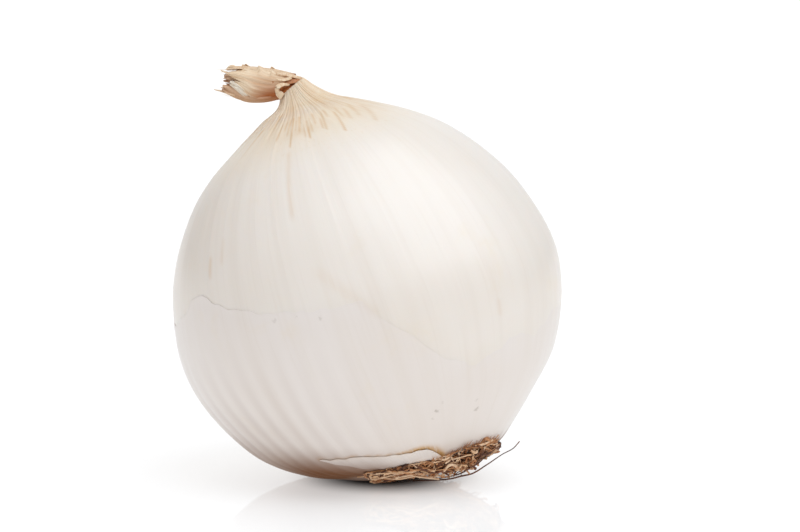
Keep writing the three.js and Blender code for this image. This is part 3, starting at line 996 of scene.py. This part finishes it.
def add_flap():
    piece, along, up = add_grid("skin_flap", 120, 18)
    degrees = FLAP_UPPER[0][0] + (FLAP_UPPER[-1][0] - FLAP_UPPER[0][0]) * along
    upper = np.interp(degrees, *np.array(FLAP_UPPER).T)
    upper = upper + 0.1 * np.sin(25 * along) + 0.07 * np.sin(61 * along)
    lower = np.interp(degrees, *np.array(FLAP_LOWER).T)
    share = share_at_radius(lower + (upper - lower) * up)
    standing = 0.05 + FLAP_STANDOFF * up**3 * (0.3 + 0.7 * smooth_step(along, 0.5, 0.9))
    set_vertex_places(piece.data, skin_points(np.radians(degrees), share, standing))
    follow_skin(piece, share)
    # golden along the upper edge, stronger to the left, is painted shade at the free edge; the right tip is
    # golden too
    give_values(piece, "golden", 0.5 * smooth_step(along, 0.93, 1) + 0.3 * up**10 * (1 - along))
    level = vertex_places(piece.data)[:, 2] / MM
    # the left part of the strip is painted deep brown towards the floor: painted shade where it meets the
    # floor, with some brown staining
    brown_and_shade = 0.8 * (1 - smooth_step(level, 4, 11.5)) * (1 - smooth_step(along, 0.3, 0.65))
    give_values(piece, "deep", brown_and_shade)
    make_solid(piece, FLAP_THICKNESS)
    return piece


flap_finish = skin_finish("torn_strip", srgb(246, 240, 235), srgb(240, 231, 224), 0.4)
skin_flap = add_flap()
dress(skin_flap, flap_finish, "bulb")

# %% [markdown]
# ## The dried neck
#
# The leaves above the bulb have dried to a tan bundle that folds over to one side and frays at its
# end. Each leaf is a grid stretched between two edge lines, with a belly that curves away from the
# middle of the bundle, small ripples along its grain and a torn end. The front leaves open a little,
# so that the pale leaf and the hollow inside them show; the hollow's dark brown is painted shade.

# %% Dry leaf finish
def dry_leaf_finish(name, light, dark, deep):
    leaf = Finish(name)
    chart = leaf.add("UVMap", uv_map="leaf").outputs["UV"]
    grain = leaf.noise(leaf.stretch(chart, (1.2, 26, 1)), 1.6, detail=5, roughness=0.6)
    streak = leaf.noise(leaf.stretch(chart, (0.8, 9, 1)), 1.3, detail=2)
    colour = leaf.mix(leaf.between(grain, 0.3, 0.72), light, dark)
    colour = leaf.mix(leaf.between(streak, 0.45, 0.75, 0.6), colour, deep)
    mottle = leaf.noise(leaf.place, 260)
    colour = leaf.mix(leaf.between(mottle, 0.5, 0.8, 0.35), colour, srgb(240, 222, 196))
    # the stored shade is painted shade: leaves and knots are painted darker orange brown in the hollow, at
    # their bases and along their lower edges
    colour = leaf.mix(leaf.attribute("shade"), colour, srgb(178, 100, 44))
    leaf.feed(leaf.shader.inputs["Base Color"], colour)
    leaf.set(roughness=0.6)
    leaf.feed(leaf.shader.inputs["Normal"], leaf.bump(grain, 0.00015))
    return leaf.material


leaf_finish = dry_leaf_finish(
    "dry_leaf", srgb(246, 226, 198), srgb(226, 190, 150), srgb(214, 166, 118))
pale_leaf_finish = dry_leaf_finish(
    "pale_leaf", srgb(250, 244, 232), srgb(242, 224, 200), srgb(236, 210, 178))
print("leaf finishes:", leaf_finish.name, pale_leaf_finish.name)

# %% Edges of the leaves
LEAF_COLUMNS = 80
LEAF_ROWS = 40
LEAF_THICKNESS = 0.14
BUNDLE_MIDDLE = (4.0, 80.5)  # y and z of the bundle's middle line, in mm
# each leaf's two edge lines in mm, its belly, how far its end is torn, how dark it is, how much darker
# its lower edge is, and the teeth of its upper edge: their place along it and their height in mm
DRY_LEAVES = {
    "upper_front_leaf": {
        "first": [
            (-16, 3.2, 81.9), (-18.2, 2.9, 82.3), (-20.2, 3.0, 82.8), (-23, 3.4, 83.3), (-26, 3.5, 83.1),
            (-29.0, 3.0, 82.7),
        ],
        "second": [
            (-17.6, 2.0, 79.0), (-19, 2.4, 77.9), (-21, 2.8, 77.4), (-23.8, 2.0, 77.8), (-26, 1.9, 79.6),
            (-28.2, 2.3, 81.0),
        ],
        "belly": 1.0, "fray": 0.05, "shade": 0.0, "under": 1.2, "seed": 4,
        "teeth": [(0.36, 0.5), (0.57, 0.9), (0.78, 0.5)],
    },
    "lower_front_leaf": {
        "first": [
            (-17.2, 2.6, 79), (-20.2, 2.4, 78), (-24, 2.2, 77.9), (-26.6, 2.1, 79.2), (-28.6, 2.3, 80.2),
            (-30, 2.5, 80.3),
        ],
        "second": [
            (-17, 3.8, 78), (-20, 4.2, 77.3), (-24, 4.4, 77.2), (-26.6, 4, 77.4), (-28.6, 3.2, 78.4),
            (-30.2, 2.6, 79.1),
        ],
        "belly": 0.8, "fray": 0.05, "shade": 0.4, "under": -0.3, "base": 0.5, "seed": 2,
    },
    "inner_front_leaf": {
        "first": [
            (-21, 3.4, 78.6), (-23, 2.9, 78.6), (-25, 2.3, 79.6), (-26.8, 2.1, 80.8), (-28, 2.2, 81.2),
        ],
        "second": [
            (-21, 3.6, 77.6), (-23, 3.1, 77.4), (-25.1, 2.2, 77.9), (-26.9, 1.9, 79.3), (-28.3, 2.2, 80.4),
        ],
        "belly": 0.3, "fray": 0.04, "shade": 0.0, "pale": True, "seed": 3,
    },
    "top_leaf": {
        "first": [(-14.8, 5.4, 82), (-18.5, 5.9, 82.7), (-22.5, 6, 83.2), (-26, 6, 83.4), (-29.6, 5.6, 83)],
        "second": [
            (-15, 3.4, 82), (-18.5, 3.2, 82.5), (-22.5, 3.2, 83.2), (-26, 3.4, 83.4), (-29.6, 3.0, 83),
        ],
        "belly": 0.3, "fray": 0.08, "shade": 0.08, "seed": 9, "teeth": [(0.5, 0.3), (0.8, 0.6)],
    },
    "upper_back_leaf": {
        "first": [(-14.8, 5.2, 81.9), (-19, 5.6, 82.9), (-24, 5.6, 83.4), (-29.4, 5.2, 83)],
        "second": [(-15.4, 6.2, 80), (-19, 6.7, 79.6), (-24, 6.8, 79.8), (-28.8, 6.4, 80.2)],
        "belly": 0.8, "fray": 0.07, "shade": 0.05, "under": 0.4, "seed": 5,
        "teeth": [(0.42, 0.6), (0.62, 0.5), (0.83, 0.9)],
    },
    "lower_back_leaf": {
        "first": [(-15.4, 6.4, 80.4), (-19.5, 6.8, 80), (-24, 6.6, 80.2), (-28.6, 6.2, 80)],
        "second": [(-16.6, 4.4, 77.8), (-20, 4.4, 77.3), (-24, 4.4, 77.2), (-28, 4.2, 77.7)],
        "belly": 0.8, "fray": 0.06, "shade": 0.25, "seed": 6,
    },
    "inner_back_leaf": {
        "first": [(-17, 4.8, 81.6), (-22, 4.6, 82.4), (-26, 4.4, 82.2), (-29.8, 4.2, 82.2)],
        "second": [(-17, 4.8, 79.4), (-22, 4.6, 78.8), (-26, 4.4, 79.2), (-29.6, 4.4, 79.8)],
        "belly": 0.2, "fray": 0.05, "shade": 0.5, "seed": 7,
    },
    "inner_upper_leaf": {
        "first": [(-17.5, 3.6, 81.8), (-22, 3.4, 82.6), (-26, 3.4, 82.7), (-30, 3.2, 82.4)],
        "second": [(-17.5, 4.2, 80.2), (-22, 3.8, 80.8), (-26, 3.4, 81.1), (-29.6, 3.2, 81.2)],
        "belly": 0.3, "fray": 0.06, "shade": 0.3, "seed": 8,
    },
    "inner_lower_leaf": {
        "first": [(-17.5, 3.2, 79.8), (-22, 3.2, 79.8), (-26, 3.2, 80), (-28.6, 3.4, 80.2)],
        "second": [(-17.5, 4.6, 78.2), (-22, 4.6, 77.6), (-26, 4.6, 77.8), (-28.8, 4.2, 78.4)],
        "belly": 0.2, "fray": 0.06, "shade": 0.7, "seed": 10,
    },
}
print("leaves:", len(DRY_LEAVES))

# %% [markdown]
# ## Torn ends and teeth
#
# Dry leaf tears in broad lobes and splits along its grain, and its edge breaks into saw teeth. Both
# are lengths along the leaf, so they only have to say how far each strip of it reaches.

# %% Tear helpers
def unit(vectors):
    """The same directions, each of length 1."""
    return vectors / np.linalg.norm(vectors, axis=1)[:, None]


def torn_edge(across, draw, lobes=7):
    """How far each strip across a leaf reaches: a few broad lobes, and narrow splits between them."""
    places = np.sort([draw.random() for _ in range(lobes)])
    lengths = [draw.uniform(-1.6, 1) for _ in range(lobes)]
    edge = np.interp(across, places, lengths)
    for _ in range(lobes):
        edge -= draw.uniform(0.5, 2.2) * bump(across, draw.random(), draw.uniform(0.012, 0.03))
    return edge


def tooth(along, place, width=0.11):
    """A saw tooth: it rises slowly towards the free end, and drops steeply past its place."""
    rise = np.clip((along - place + width) / width, 0, 1) ** 1.5
    return rise * (1 - smooth_step(along, place, place + 0.035))


print("a tooth is", tooth(np.array([0.5]), 0.5)[0], "high at its place")

# %% [markdown]
# ## Laying the leaves
#
# Each leaf is stretched between its edge lines, arched, pleated and torn, and then gets its wall.

# %% Leaves
def add_dry_leaf(
        name, first, second, belly, fray, shade, seed, under=0.0, base=0.16, teeth=(), pale=False):
    """A leaf between two edge lines, arched away from the bundle's middle and torn at its end."""
    piece, along, across = add_grid(name, LEAF_COLUMNS, LEAF_ROWS)
    draw = random.Random(seed)
    phase = [draw.uniform(0, 2 * math.pi) for _ in range(5)]
    reach = along * (1 - fray + fray * torn_edge(across, draw) * smooth_step(along, 0.2, 1))
    upper, lower = along_line(first, reach), along_line(second, reach)
    ahead = along_line(first, reach + 0.02) + along_line(second, reach + 0.02)
    behind = along_line(first, reach - 0.02) + along_line(second, reach - 0.02)
    places = lower + (upper - lower) * across[:, None]
    outward = unit(np.cross(ahead - behind, upper - lower))
    outward *= np.sign(np.sum(outward[:, 1:] * (places[:, 1:] - BUNDLE_MIDDLE), axis=1).mean())
    out = belly * np.sin(math.pi * across) ** 0.8
    pleats = 0.1 * np.sin(15 * across + 3 * along + phase[0])
    pleats += 0.05 * np.sin(37 * across - 5 * along + phase[1])
    out += pleats * smooth_step(along, 0.02, 0.3)
    out += 0.3 * smooth_step(along, 0.72, 1) * np.sin(8 * across + phase[2])
    out += 0.15 * np.sin(7 * along + phase[3]) * (across - 0.5)
    for place, tall in teeth:
        raised = tall * tooth(along, place) * smooth_step(across, 0.7, 1)
        places[:, 2] += raised * (1 + 0.5 * np.sin(40 * across + phase[4]) * (1 - across))
    set_vertex_places(piece.data, (places + outward * out[:, None]) * MM)
    piece.data.uv_layers[0].name = "leaf"
    base_shade = 0.6 * (1 - smooth_step(along, 0, base))
    under_shade = under * (1 - across) ** 1.3 * (1 - smooth_step(along, 0.35, 0.85))
    give_values(piece, "shade", np.clip(shade + base_shade + under_shade, 0, 1))
    make_solid(piece, LEAF_THICKNESS, inwards=False)
    dress(piece, pale_leaf_finish if pale else leaf_finish, "dry_neck")


for leaf_name, leaf in DRY_LEAVES.items():
    add_dry_leaf(leaf_name, **leaf)

# %% [markdown]
# ## Tubes
#
# Twisted leaf ends, fibres and roots are all tubes. One is modelled for each kind, a cylinder cut
# into rings, and every copy is then laid along a line of its own. Hundreds of copies are made of a
# root, so its tube has only a few dozen faces. Curves with a bevel would do too, but they would have
# to be turned into meshes, and their ends would stay open.

# %% Tube helpers
def add_tube(name, sides, cuts):
    """A tube of length 1 and radius 1 along Z, cut into rings."""
    select_only()
    bpy.ops.mesh.primitive_cylinder_add(vertices=sides, radius=1, depth=1, end_fill_type="TRIFAN")
    piece = bpy.context.object
    piece.name = piece.data.name = name
    for part in (*piece.data.vertices, *piece.data.polygons):
        part.select = False
    for edge in piece.data.edges:
        low, high = (piece.data.vertices[corner].co.z for corner in edge.vertices)
        edge.select = abs(high - low) > 0.5
    # in edge mode only the long edges are picked, so all the cuts go round the tube and none along it
    bpy.context.tool_settings.mesh_select_mode = (False, True, False)
    bpy.ops.object.mode_set(mode="EDIT")
    bpy.ops.mesh.subdivide(number_cuts=cuts)
    bpy.ops.object.mode_set(mode="OBJECT")
    bpy.context.tool_settings.mesh_select_mode = (True, False, False)
    print(name, "has", len(piece.data.polygons), "faces")
    return piece


def lay_along(tube, points, radii, name, flatten=1.0, ridges=0.0, twist=0.0):
    """A copy of the tube on a smooth line through points, in mm, with a radius at each end."""
    mesh = tube.data.copy()
    piece = bpy.data.objects.new(name, mesh)
    bpy.context.scene.collection.objects.link(piece)
    places = vertex_places(mesh)
    along = places[:, 2] + 0.5
    turn = np.arctan2(places[:, 1], places[:, 0])
    radius = (radii[0] + (radii[1] - radii[0]) * along) * np.hypot(places[:, 0], places[:, 1])
    radius = radius * (1 + ridges * np.cos(3 * turn + 9 * along))
    centre = along_line(points, along)
    ahead = unit(along_line(points, along + 0.01) - along_line(points, along - 0.01))
    steady = np.where(np.abs(ahead[:, 2:]) < 0.9, (0.0, 0.0, 1.0), (0.0, 1.0, 0.0))
    across = unit(np.cross(ahead, steady))
    rise = np.cross(across, ahead)
    broad, thin = radius * np.cos(turn), flatten * radius * np.sin(turn)
    turned = twist * along
    sideways = broad * np.cos(turned) - thin * np.sin(turned)
    upwards = broad * np.sin(turned) + thin * np.cos(turned)
    set_vertex_places(mesh, (centre + across * sideways[:, None] + rise * upwards[:, None]) * MM)
    return piece


def join(name, copies):
    """Makes one piece of many."""
    select_only(*copies)
    bpy.ops.object.join()
    piece = bpy.context.object
    piece.name = piece.data.name = name
    return piece


# %% [markdown]
# ## The knot at the fold
#
# Where the leaves come out of the sheath they twist, and a few narrow ends wind round each other.

# %% Knot
KNOT_SIDES = 24
KNOT_CUTS = 19
KNOT_RIDGES = 0.14
KNOT_TWIST = 1.6
# each twisted end: its line in mm, its radius at both ends, how flat it is, and how dark it is painted
# in shade. The eleventh is thicker than the rest and fills the dark middle of the fold with painted
# shade.
KNOTS = [
    ([(-13.7, 3.4, 81.5), (-15.4, 2.7, 82), (-17, 2.5, 82.3), (-18.8, 2.6, 82.4)], (0.5, 0.3), 0.6, 0.1),
    ([(-14.2, 3.2, 81), (-15.6, 2.6, 81), (-17, 2.3, 80.6), (-18, 2.3, 79.9)], (0.75, 0.5), 0.6, 0.8),
    ([(-15, 3, 80), (-16.4, 2.6, 79.4), (-17.6, 2.4, 78.6), (-18.6, 2.4, 78)], (0.75, 0.45), 0.6, 1.0),
    ([(-16.2, 2.2, 80.3), (-17.4, 1.5, 80.4), (-18.4, 1.2, 79.8), (-18.3, 1.3, 78.7), (-17.5, 1.7, 78)],
     (0.4, 0.75), 0.6, 0.0),
    ([(-15.8, 2.4, 81.7), (-16.8, 1.9, 81.4), (-17.8, 1.6, 81.3), (-18.8, 1.5, 81.6)], (0.6, 0.1), 0.45, 0.0),
    ([(-14.8, 6.2, 81.2), (-16.4, 6.7, 80.6), (-17.6, 6.5, 79.4), (-18.6, 6, 78.6)], (0.6, 0.35), 0.6, 0.3),
    ([(-15.6, 5.8, 79.6), (-17, 5.8, 78.6), (-18.4, 5.2, 78), (-20, 5, 77.8)], (0.6, 0.3), 0.6, 0.5),
    ([(-16.4, 3.8, 78.6), (-17.6, 3.6, 77.7), (-19, 3.8, 77.3), (-20.6, 4, 77.3)], (0.6, 0.3), 0.6, 0.4),
    ([(-27.2, 2.6, 78.2), (-28.6, 2.3, 78.6), (-30, 2.3, 79), (-31.4, 2.4, 79.3)], (0.5, 0.05), 0.5, 0.1),
    ([(-26.8, 3.4, 82.2), (-28.2, 3.2, 82.4), (-29.2, 3.1, 82.8), (-30, 3, 83.2)], (0.4, 0.08), 0.5, 0.0),
    ([(-14.6, 4.3, 80.5), (-16, 4.3, 80.5), (-17.6, 4.3, 80.4), (-19.4, 4.3, 80.2)], (1.1, 2.4), 0.95, 0.9),
    ([(-26.4, 4.6, 83.1), (-27.4, 4.4, 83.8), (-28.2, 4.4, 83.7), (-28.8, 4.4, 83.2)], (0.5, 0.2), 0.5, 0.0),
]


def add_knots():
    tube = add_tube("knot_tube", KNOT_SIDES, KNOT_CUTS)
    copies = []
    for number, (line, radii, flatten, shade) in enumerate(KNOTS):
        copy = lay_along(tube, line, radii, f"knot_{number}", flatten, KNOT_RIDGES, KNOT_TWIST)
        give_values(copy, "shade", np.full(len(copy.data.vertices), shade))
        copies.append(copy)
    bpy.data.objects.remove(tube)
    knots = join("neck_knots", copies)
    knots.data.uv_layers[0].name = "leaf"
    return knots


neck_knots = add_knots()
dress(neck_knots, leaf_finish, "dry_neck")

# %% [markdown]
# ## Loose fibres
#
# Dried leaf splits along its grain, and single fibres stand out of the torn end. Hair curves would
# be the quick way, but they aren't part of a mesh, so each fibre is a thin tube of four sides.

# %% Fibres
FIBRES = 14
FIBRE_RADII = (0.09, 0.03)


def add_fibres():
    """Fine dry fibres that stand out of the torn end of the bundle."""
    draw = random.Random(12)
    tube = add_tube("fibre_tube", 4, 7)
    copies = []
    for number in range(FIBRES):
        turn = draw.uniform(0, 2 * math.pi)
        depth, rise = draw.uniform(0.7, 1.0), draw.uniform(0.7, 1.0)
        middle_y, middle_z = BUNDLE_MIDDLE
        sideways, upwards = 2.4 * depth * math.sin(turn), 3 * rise * math.cos(turn)
        base = np.array([draw.uniform(-27.5, -24), middle_y + sideways, middle_z + upwards])
        length = draw.uniform(2.4, 4.2)
        spread = np.array([-1, draw.uniform(-0.16, 0.16), draw.uniform(-0.16, 0.14)])
        bend = np.array([0, draw.uniform(-0.5, 0.5), draw.uniform(-0.4, 0.4)])
        line = [base + spread * length * step + bend * step**2 for step in (0, 0.35, 0.7, 1)]
        copies.append(lay_along(tube, line, FIBRE_RADII, f"fibre_{number}", 0.6))
    bpy.data.objects.remove(tube)
    fibres = join("neck_fibres", copies)
    fibres.data.uv_layers[0].name = "leaf"
    return fibres


dress(add_fibres(), leaf_finish, "dry_neck")

# %% [markdown]
# ## Where the roots lie
#
# The roots fill a thin space under the bulb that differs from one side to the next. Two tables say
# how far out they reach and how deep they lie, and a helper finds a place at any depth.

# %% Root places
# every 20 degrees round: how far out the roots reach, and how thick they lie under the skin, in mm
ROOT_REACH = (
    14.8, 14, 13.2, 12.4, 11.8, 11, 10, 8.8, 8, 7.6, 7.6, 9.5, 21, 19.2, 17.4, 18.8, 18.3, 16.4, 14.8,
)
ROOT_DEPTH = (2, 2.2, 2.3, 2.2, 2, 1.9, 1.8, 1.6, 1.5, 1.2, 0.7, 0.6, 0.8, 1.3, 2.4, 4.2, 2.1, 1.2, 2)
SURFACE_CLEARANCE = 0.06


def round_table(table, turn):
    return np.interp(np.degrees(turn) % 360, np.linspace(0, 360, len(table)), table)


def under_skin(turn, radius, drop):
    """Places under the bulb in mm, a drop below its skin."""
    on_skin = skin_points(turn, share_at_radius(radius)) / MM
    on_plate = on_axis(radius * np.cos(turn), radius * np.sin(turn), np.full(len(turn), 2.8))
    places = np.where((radius > PLATE_RADIUS + 0.2)[:, None], on_skin, on_plate)
    return places - drop[:, None] * UP_AXIS


def keep_above_surface(piece, clearance=SURFACE_CLEARANCE):
    places = vertex_places(piece.data)
    places[:, 2] = np.maximum(places[:, 2], clearance * MM)
    set_vertex_places(piece.data, places)


print("farthest root ends, in mm:", max(ROOT_REACH))

# %% [markdown]
# ## The finish of the roots
#
# Dried roots run from pale tan to dark brown. Three tints of one finish are enough, since the roots
# lie mixed, and a darker fibre in each breaks it up.

# %% Root finishes
def root_finish(name, light, dark, gap):
    root = Finish(name)
    fibre = root.noise(root.place, 1100, detail=4, roughness=0.65)
    cloud = root.noise(root.place, 240, detail=2)
    colour = root.mix(root.between(cloud, 0.38, 0.62), light, dark)
    colour = root.mix(root.between(fibre, 0.45, 0.75, 0.6), colour, gap)
    root.feed(root.shader.inputs["Base Color"], colour)
    root.set(roughness=0.62)
    root.feed(root.shader.inputs["Normal"], root.bump(fibre, 0.0001))
    return root.material


root_tints = [
    root_finish("dry_root_pale", srgb(246, 214, 180), srgb(224, 180, 136), srgb(168, 114, 72)),
    root_finish("dry_root_brown", srgb(212, 156, 108), srgb(176, 116, 72), srgb(110, 64, 36)),
    root_finish("dry_root_dark", srgb(126, 74, 44), srgb(84, 46, 26), srgb(50, 28, 16)),
]


print("root tints:", [tint.name for tint in root_tints])

# %% [markdown]
# ## The root plate
#
# Under the bulb sits the hard plate that the roots grew from. It is mostly hidden, a knobbly disc
# made from a grid that runs round the axis and in towards it.

# %% Root plate
def add_root_plate():
    piece, around, inward = add_grid("root_plate", 72, 14)
    turn = around * 2 * math.pi
    radius = 7.4 * np.sin(math.pi / 2 * inward) ** 0.8 * (1 + 0.03 * np.cos(7 * turn))
    knobs = 0.18 * np.cos(11 * turn + 4 * inward) + 0.14 * np.cos(19 * turn - 9 * inward)
    drop = 0.9 - 0.6 * smooth_step(inward, 0.72, 1) + knobs * smooth_step(inward, 0.1, 0.4) * (1 - inward)
    set_vertex_places(piece.data, under_skin(turn, radius, drop) * MM)
    weld(piece)
    make_solid(piece, 0.5)
    keep_above_surface(piece)
    return piece


root_plate = add_root_plate()
dress(root_plate, root_tints[2], "roots")

# %% [markdown]
# ## The roots
#
# Dried roots leave the plate, run out under the skin and mat together. One root is modelled, a thin
# tube, and each copy is laid along its own wandering line. The line is a walk of small steps over
# the underside, whose heading and depth drift, drawn with a fixed seed so that it is always the
# same. Some roots run outwards, most wind round through the mat, and some curl into loops.

# %% Root lines
ROOT_SIDES = 5
ROOT_CUTS = 11
RADIAL_ROOTS = 210
MATTED_ROOTS = 280
CURLED_ROOTS = 110
ROOT_RIDGES = 0.1
MAT_TURNS = (228, 350)  # where the mat is thick, in degrees round
CURL_TURNS = (258, 335)
NEAREST_AXIS = 1.5  # a root doesn't come nearer to the axis than this, in mm
NEAREST_SKIN = 0.1  # nor nearer to the skin

root_tube = add_tube("root_tube", ROOT_SIDES, ROOT_CUTS)
root_draw = random.Random(21)


def wandering_line(degrees, radius, heading, step, count, drop, restless, curl=0.0):
    """A walk over the underside. Heading 0 is outwards and 90 degrees is along the ring."""
    turn = math.radians(degrees)
    heading = math.radians(heading)
    walk = []
    for _ in range(count):
        walk.append((turn, radius, drop))
        heading += root_draw.gauss(0, restless) + curl
        reach = float(round_table(ROOT_REACH, turn))
        radius = min(max(radius + step * math.cos(heading), NEAREST_AXIS), reach)
        turn += step * math.sin(heading) / max(radius, 4)
        deepest = max(float(round_table(ROOT_DEPTH, turn)) * (radius / reach) ** 2, 0.35)
        drop = min(max(drop + root_draw.gauss(0, 0.4), NEAREST_SKIN), deepest)
    return under_skin(*np.array(walk).T)


def radial_root():
    degrees = root_draw.uniform(0, 360)
    step = (float(round_table(ROOT_REACH, math.radians(degrees))) - 4) / 7 * root_draw.uniform(0.7, 1.1)
    radius = root_draw.uniform(NEAREST_AXIS, 7)
    return wandering_line(degrees, radius, root_draw.uniform(-35, 35), step, 8, 1.1, 0.25)


def deep_down(turn):
    """A drop below the skin, with most roots near it and a few hanging low."""
    return NEAREST_SKIN + float(round_table(ROOT_DEPTH, turn)) * root_draw.random() ** 1.3


def matted_root():
    degrees = root_draw.uniform(*MAT_TURNS)
    radius = float(round_table(ROOT_REACH, math.radians(degrees))) * root_draw.uniform(0.6, 1)
    heading = root_draw.choice((-90, 90)) + root_draw.uniform(-30, 30)
    drop = deep_down(math.radians(degrees))
    return wandering_line(degrees, radius, heading, root_draw.uniform(0.6, 1.7), 9, drop, 0.3)


def curled_root():
    degrees = root_draw.uniform(*CURL_TURNS)
    radius = float(round_table(ROOT_REACH, math.radians(degrees))) * root_draw.uniform(0.85, 1)
    curl = root_draw.choice((-1, 1)) * root_draw.uniform(0.4, 0.8)
    drop = deep_down(math.radians(degrees))
    step = root_draw.uniform(0.5, 0.9)
    return wandering_line(degrees, radius, root_draw.uniform(0, 360), step, 9, drop, 0.2, curl)


print("roots in the mat:", RADIAL_ROOTS + MATTED_ROOTS + CURLED_ROOTS)

# %% [markdown]
# ## The mat
#
# Every root gets its own thickness, tint and twist. Roots of one tint are joined into one piece,
# because hundreds of separate objects are slow to handle.

# %% Root mat
def add_root_mat():
    """All the roots of the mat, joined by tint. The draws stay in this order, or the mat changes."""
    makers = [(radial_root, RADIAL_ROOTS), (matted_root, MATTED_ROOTS), (curled_root, CURLED_ROOTS)]
    tinted = {tint: [] for tint in range(len(root_tints))}
    for make, count in makers:
        for number in range(count):
            thick = 0.11 + 0.24 * root_draw.random() ** 1.6
            line = make()
            tint = root_draw.choices((0, 1, 2), weights=(5, 5, 3))[0]
            flatten, twist = root_draw.uniform(0.3, 0.9), root_draw.uniform(0, 4)
            radii = (thick * 1.15, thick * 0.7)
            name = f"{make.__name__}_{number}"
            tinted[tint].append(lay_along(root_tube, line, radii, name, flatten, ROOT_RIDGES, twist))
    return [join(f"root_mat_{tint + 1}", copies) for tint, copies in tinted.items()]


for tint, mat in enumerate(add_root_mat()):
    keep_above_surface(mat)
    dress(mat, root_tints[tint], "roots")

# %% [markdown]
# ## Stray roots and bristles
#
# A few stiff roots stand clear of the mat, each along a listed line. A row of fine bristles
# lies on the skin above the mat, where the ends of broken roots stand up.

# %% Stray roots
# each stray root: its line in mm, its radius at both ends, and its tint
STRAY_ROOTS = [
    ([(9, -9, 0.8), (15.6, -14, 2.1), (18.7, -14, 2.8), (21.1, -14, 3.4), (24.1, -13.5, 5.2),
      (26.9, -12.5, 6.9), (29.1, -11.5, 7.9), (30.5, -10.5, 9.2)], (0.2, 0.11), 2),
    ([(14.2, -14.6, 2.4), (17.9, -15, 3.3), (20.3, -15, 4.5), (22.3, -15, 5.8), (24.1, -14.5, 7.5),
      (25.7, -13.5, 9)], (0.16, 0.14), 2),
    ([(16, -15, 5.2), (18.2, -15, 5.1), (18.7, -14.7, 4.2), (18.6, -14.6, 2.9)], (0.16, 0.08), 2),
    ([(13, -15.4, 4), (13.9, -15.2, 3.2), (15.4, -15, 2.8), (16.8, -15, 3.5), (17.2, -15, 4.8)],
     (0.14, 0.12), 1),
    ([(8, -17.5, 4.3), (3.4, -18.8, 4.1), (0.6, -18.8, 3.9), (-1, -18.2, 3.5), (-2.2, -17.6, 3.3)],
     (0.2, 0.1), 0),
    ([(7, -18.6, 5.4), (3, -19.6, 5.4), (0.2, -19.4, 5), (-1.9, -18.6, 4.4)], (0.2, 0.08), 1),
    ([(-0.6, -17.6, 3.2), (1.2, -17.4, 2.8), (3.6, -18.4, 3.5), (6.2, -19.2, 4.3), (10.2, -18, 3.4),
      (14.2, -15.6, 2.5)], (0.14, 0.22), 0),
    ([(2.4, -17, 3.1), (6, -17.6, 2.9), (9.6, -17.4, 3.5), (12.6, -16.6, 3.1), (15, -15.6, 3.3)],
     (0.2, 0.14), 0),
    ([(5, -16, 2.6), (2.8, -15.8, 2.5), (1.9, -15.4, 1.9)], (0.16, 0.12), 1),
    ([(22.2, -16.6, 10.5), (23, -16.6, 11), (23.9, -16, 10.8), (24.2, -15.6, 10), (23.6, -15.9, 9.4)],
     (0.55, 0.35), 1),
    ([(21.6, -17, 9.5), (22.8, -16.8, 9.8), (24, -16, 10.1), (25, -14.8, 10.3)], (0.3, 0.2), 0),
]
STRAY_SIDES = 10
STRAY_CUTS = 40
BRISTLES = 90
BRISTLE_TURNS = (276, 332)


def add_strays():
    tube = add_tube("stray_tube", STRAY_SIDES, STRAY_CUTS)
    tinted = {tint: [] for tint in range(len(root_tints))}
    for number, (line, radii, tint) in enumerate(STRAY_ROOTS):
        tinted[tint].append(lay_along(tube, line, radii, f"stray_{number}", 0.7, 0.14, 5))
    bpy.data.objects.remove(tube)
    return [join(f"stray_roots_{tint + 1}", copies) for tint, copies in tinted.items()]


def add_bristles():
    """Short, fine ends that rise off the skin just above the mat."""
    draw = random.Random(3)
    copies = []
    for number in range(BRISTLES):
        turn = math.radians(draw.uniform(*BRISTLE_TURNS))
        root = float(round_table(ROOT_REACH, turn)) * 0.98
        length = draw.uniform(0.6, 2)
        steps = np.linspace(0, 1, 4)
        share = share_at_radius(root + length * steps)
        line = skin_points(turn + draw.uniform(-0.05, 0.05) * steps, share, 0.12 + 0.3 * steps) / MM
        copies.append(lay_along(root_tube, line, (draw.uniform(0.07, 0.11), 0.03), f"bristle_{number}"))
    return join("root_bristles", copies)


stray_roots = add_strays()
root_bristles = add_bristles()
bpy.data.objects.remove(root_tube)
for loose, tint in ((stray_roots[0], 0), (stray_roots[1], 1), (stray_roots[2], 2), (root_bristles, 1)):
    keep_above_surface(loose)
    dress(loose, root_tints[tint], "roots")
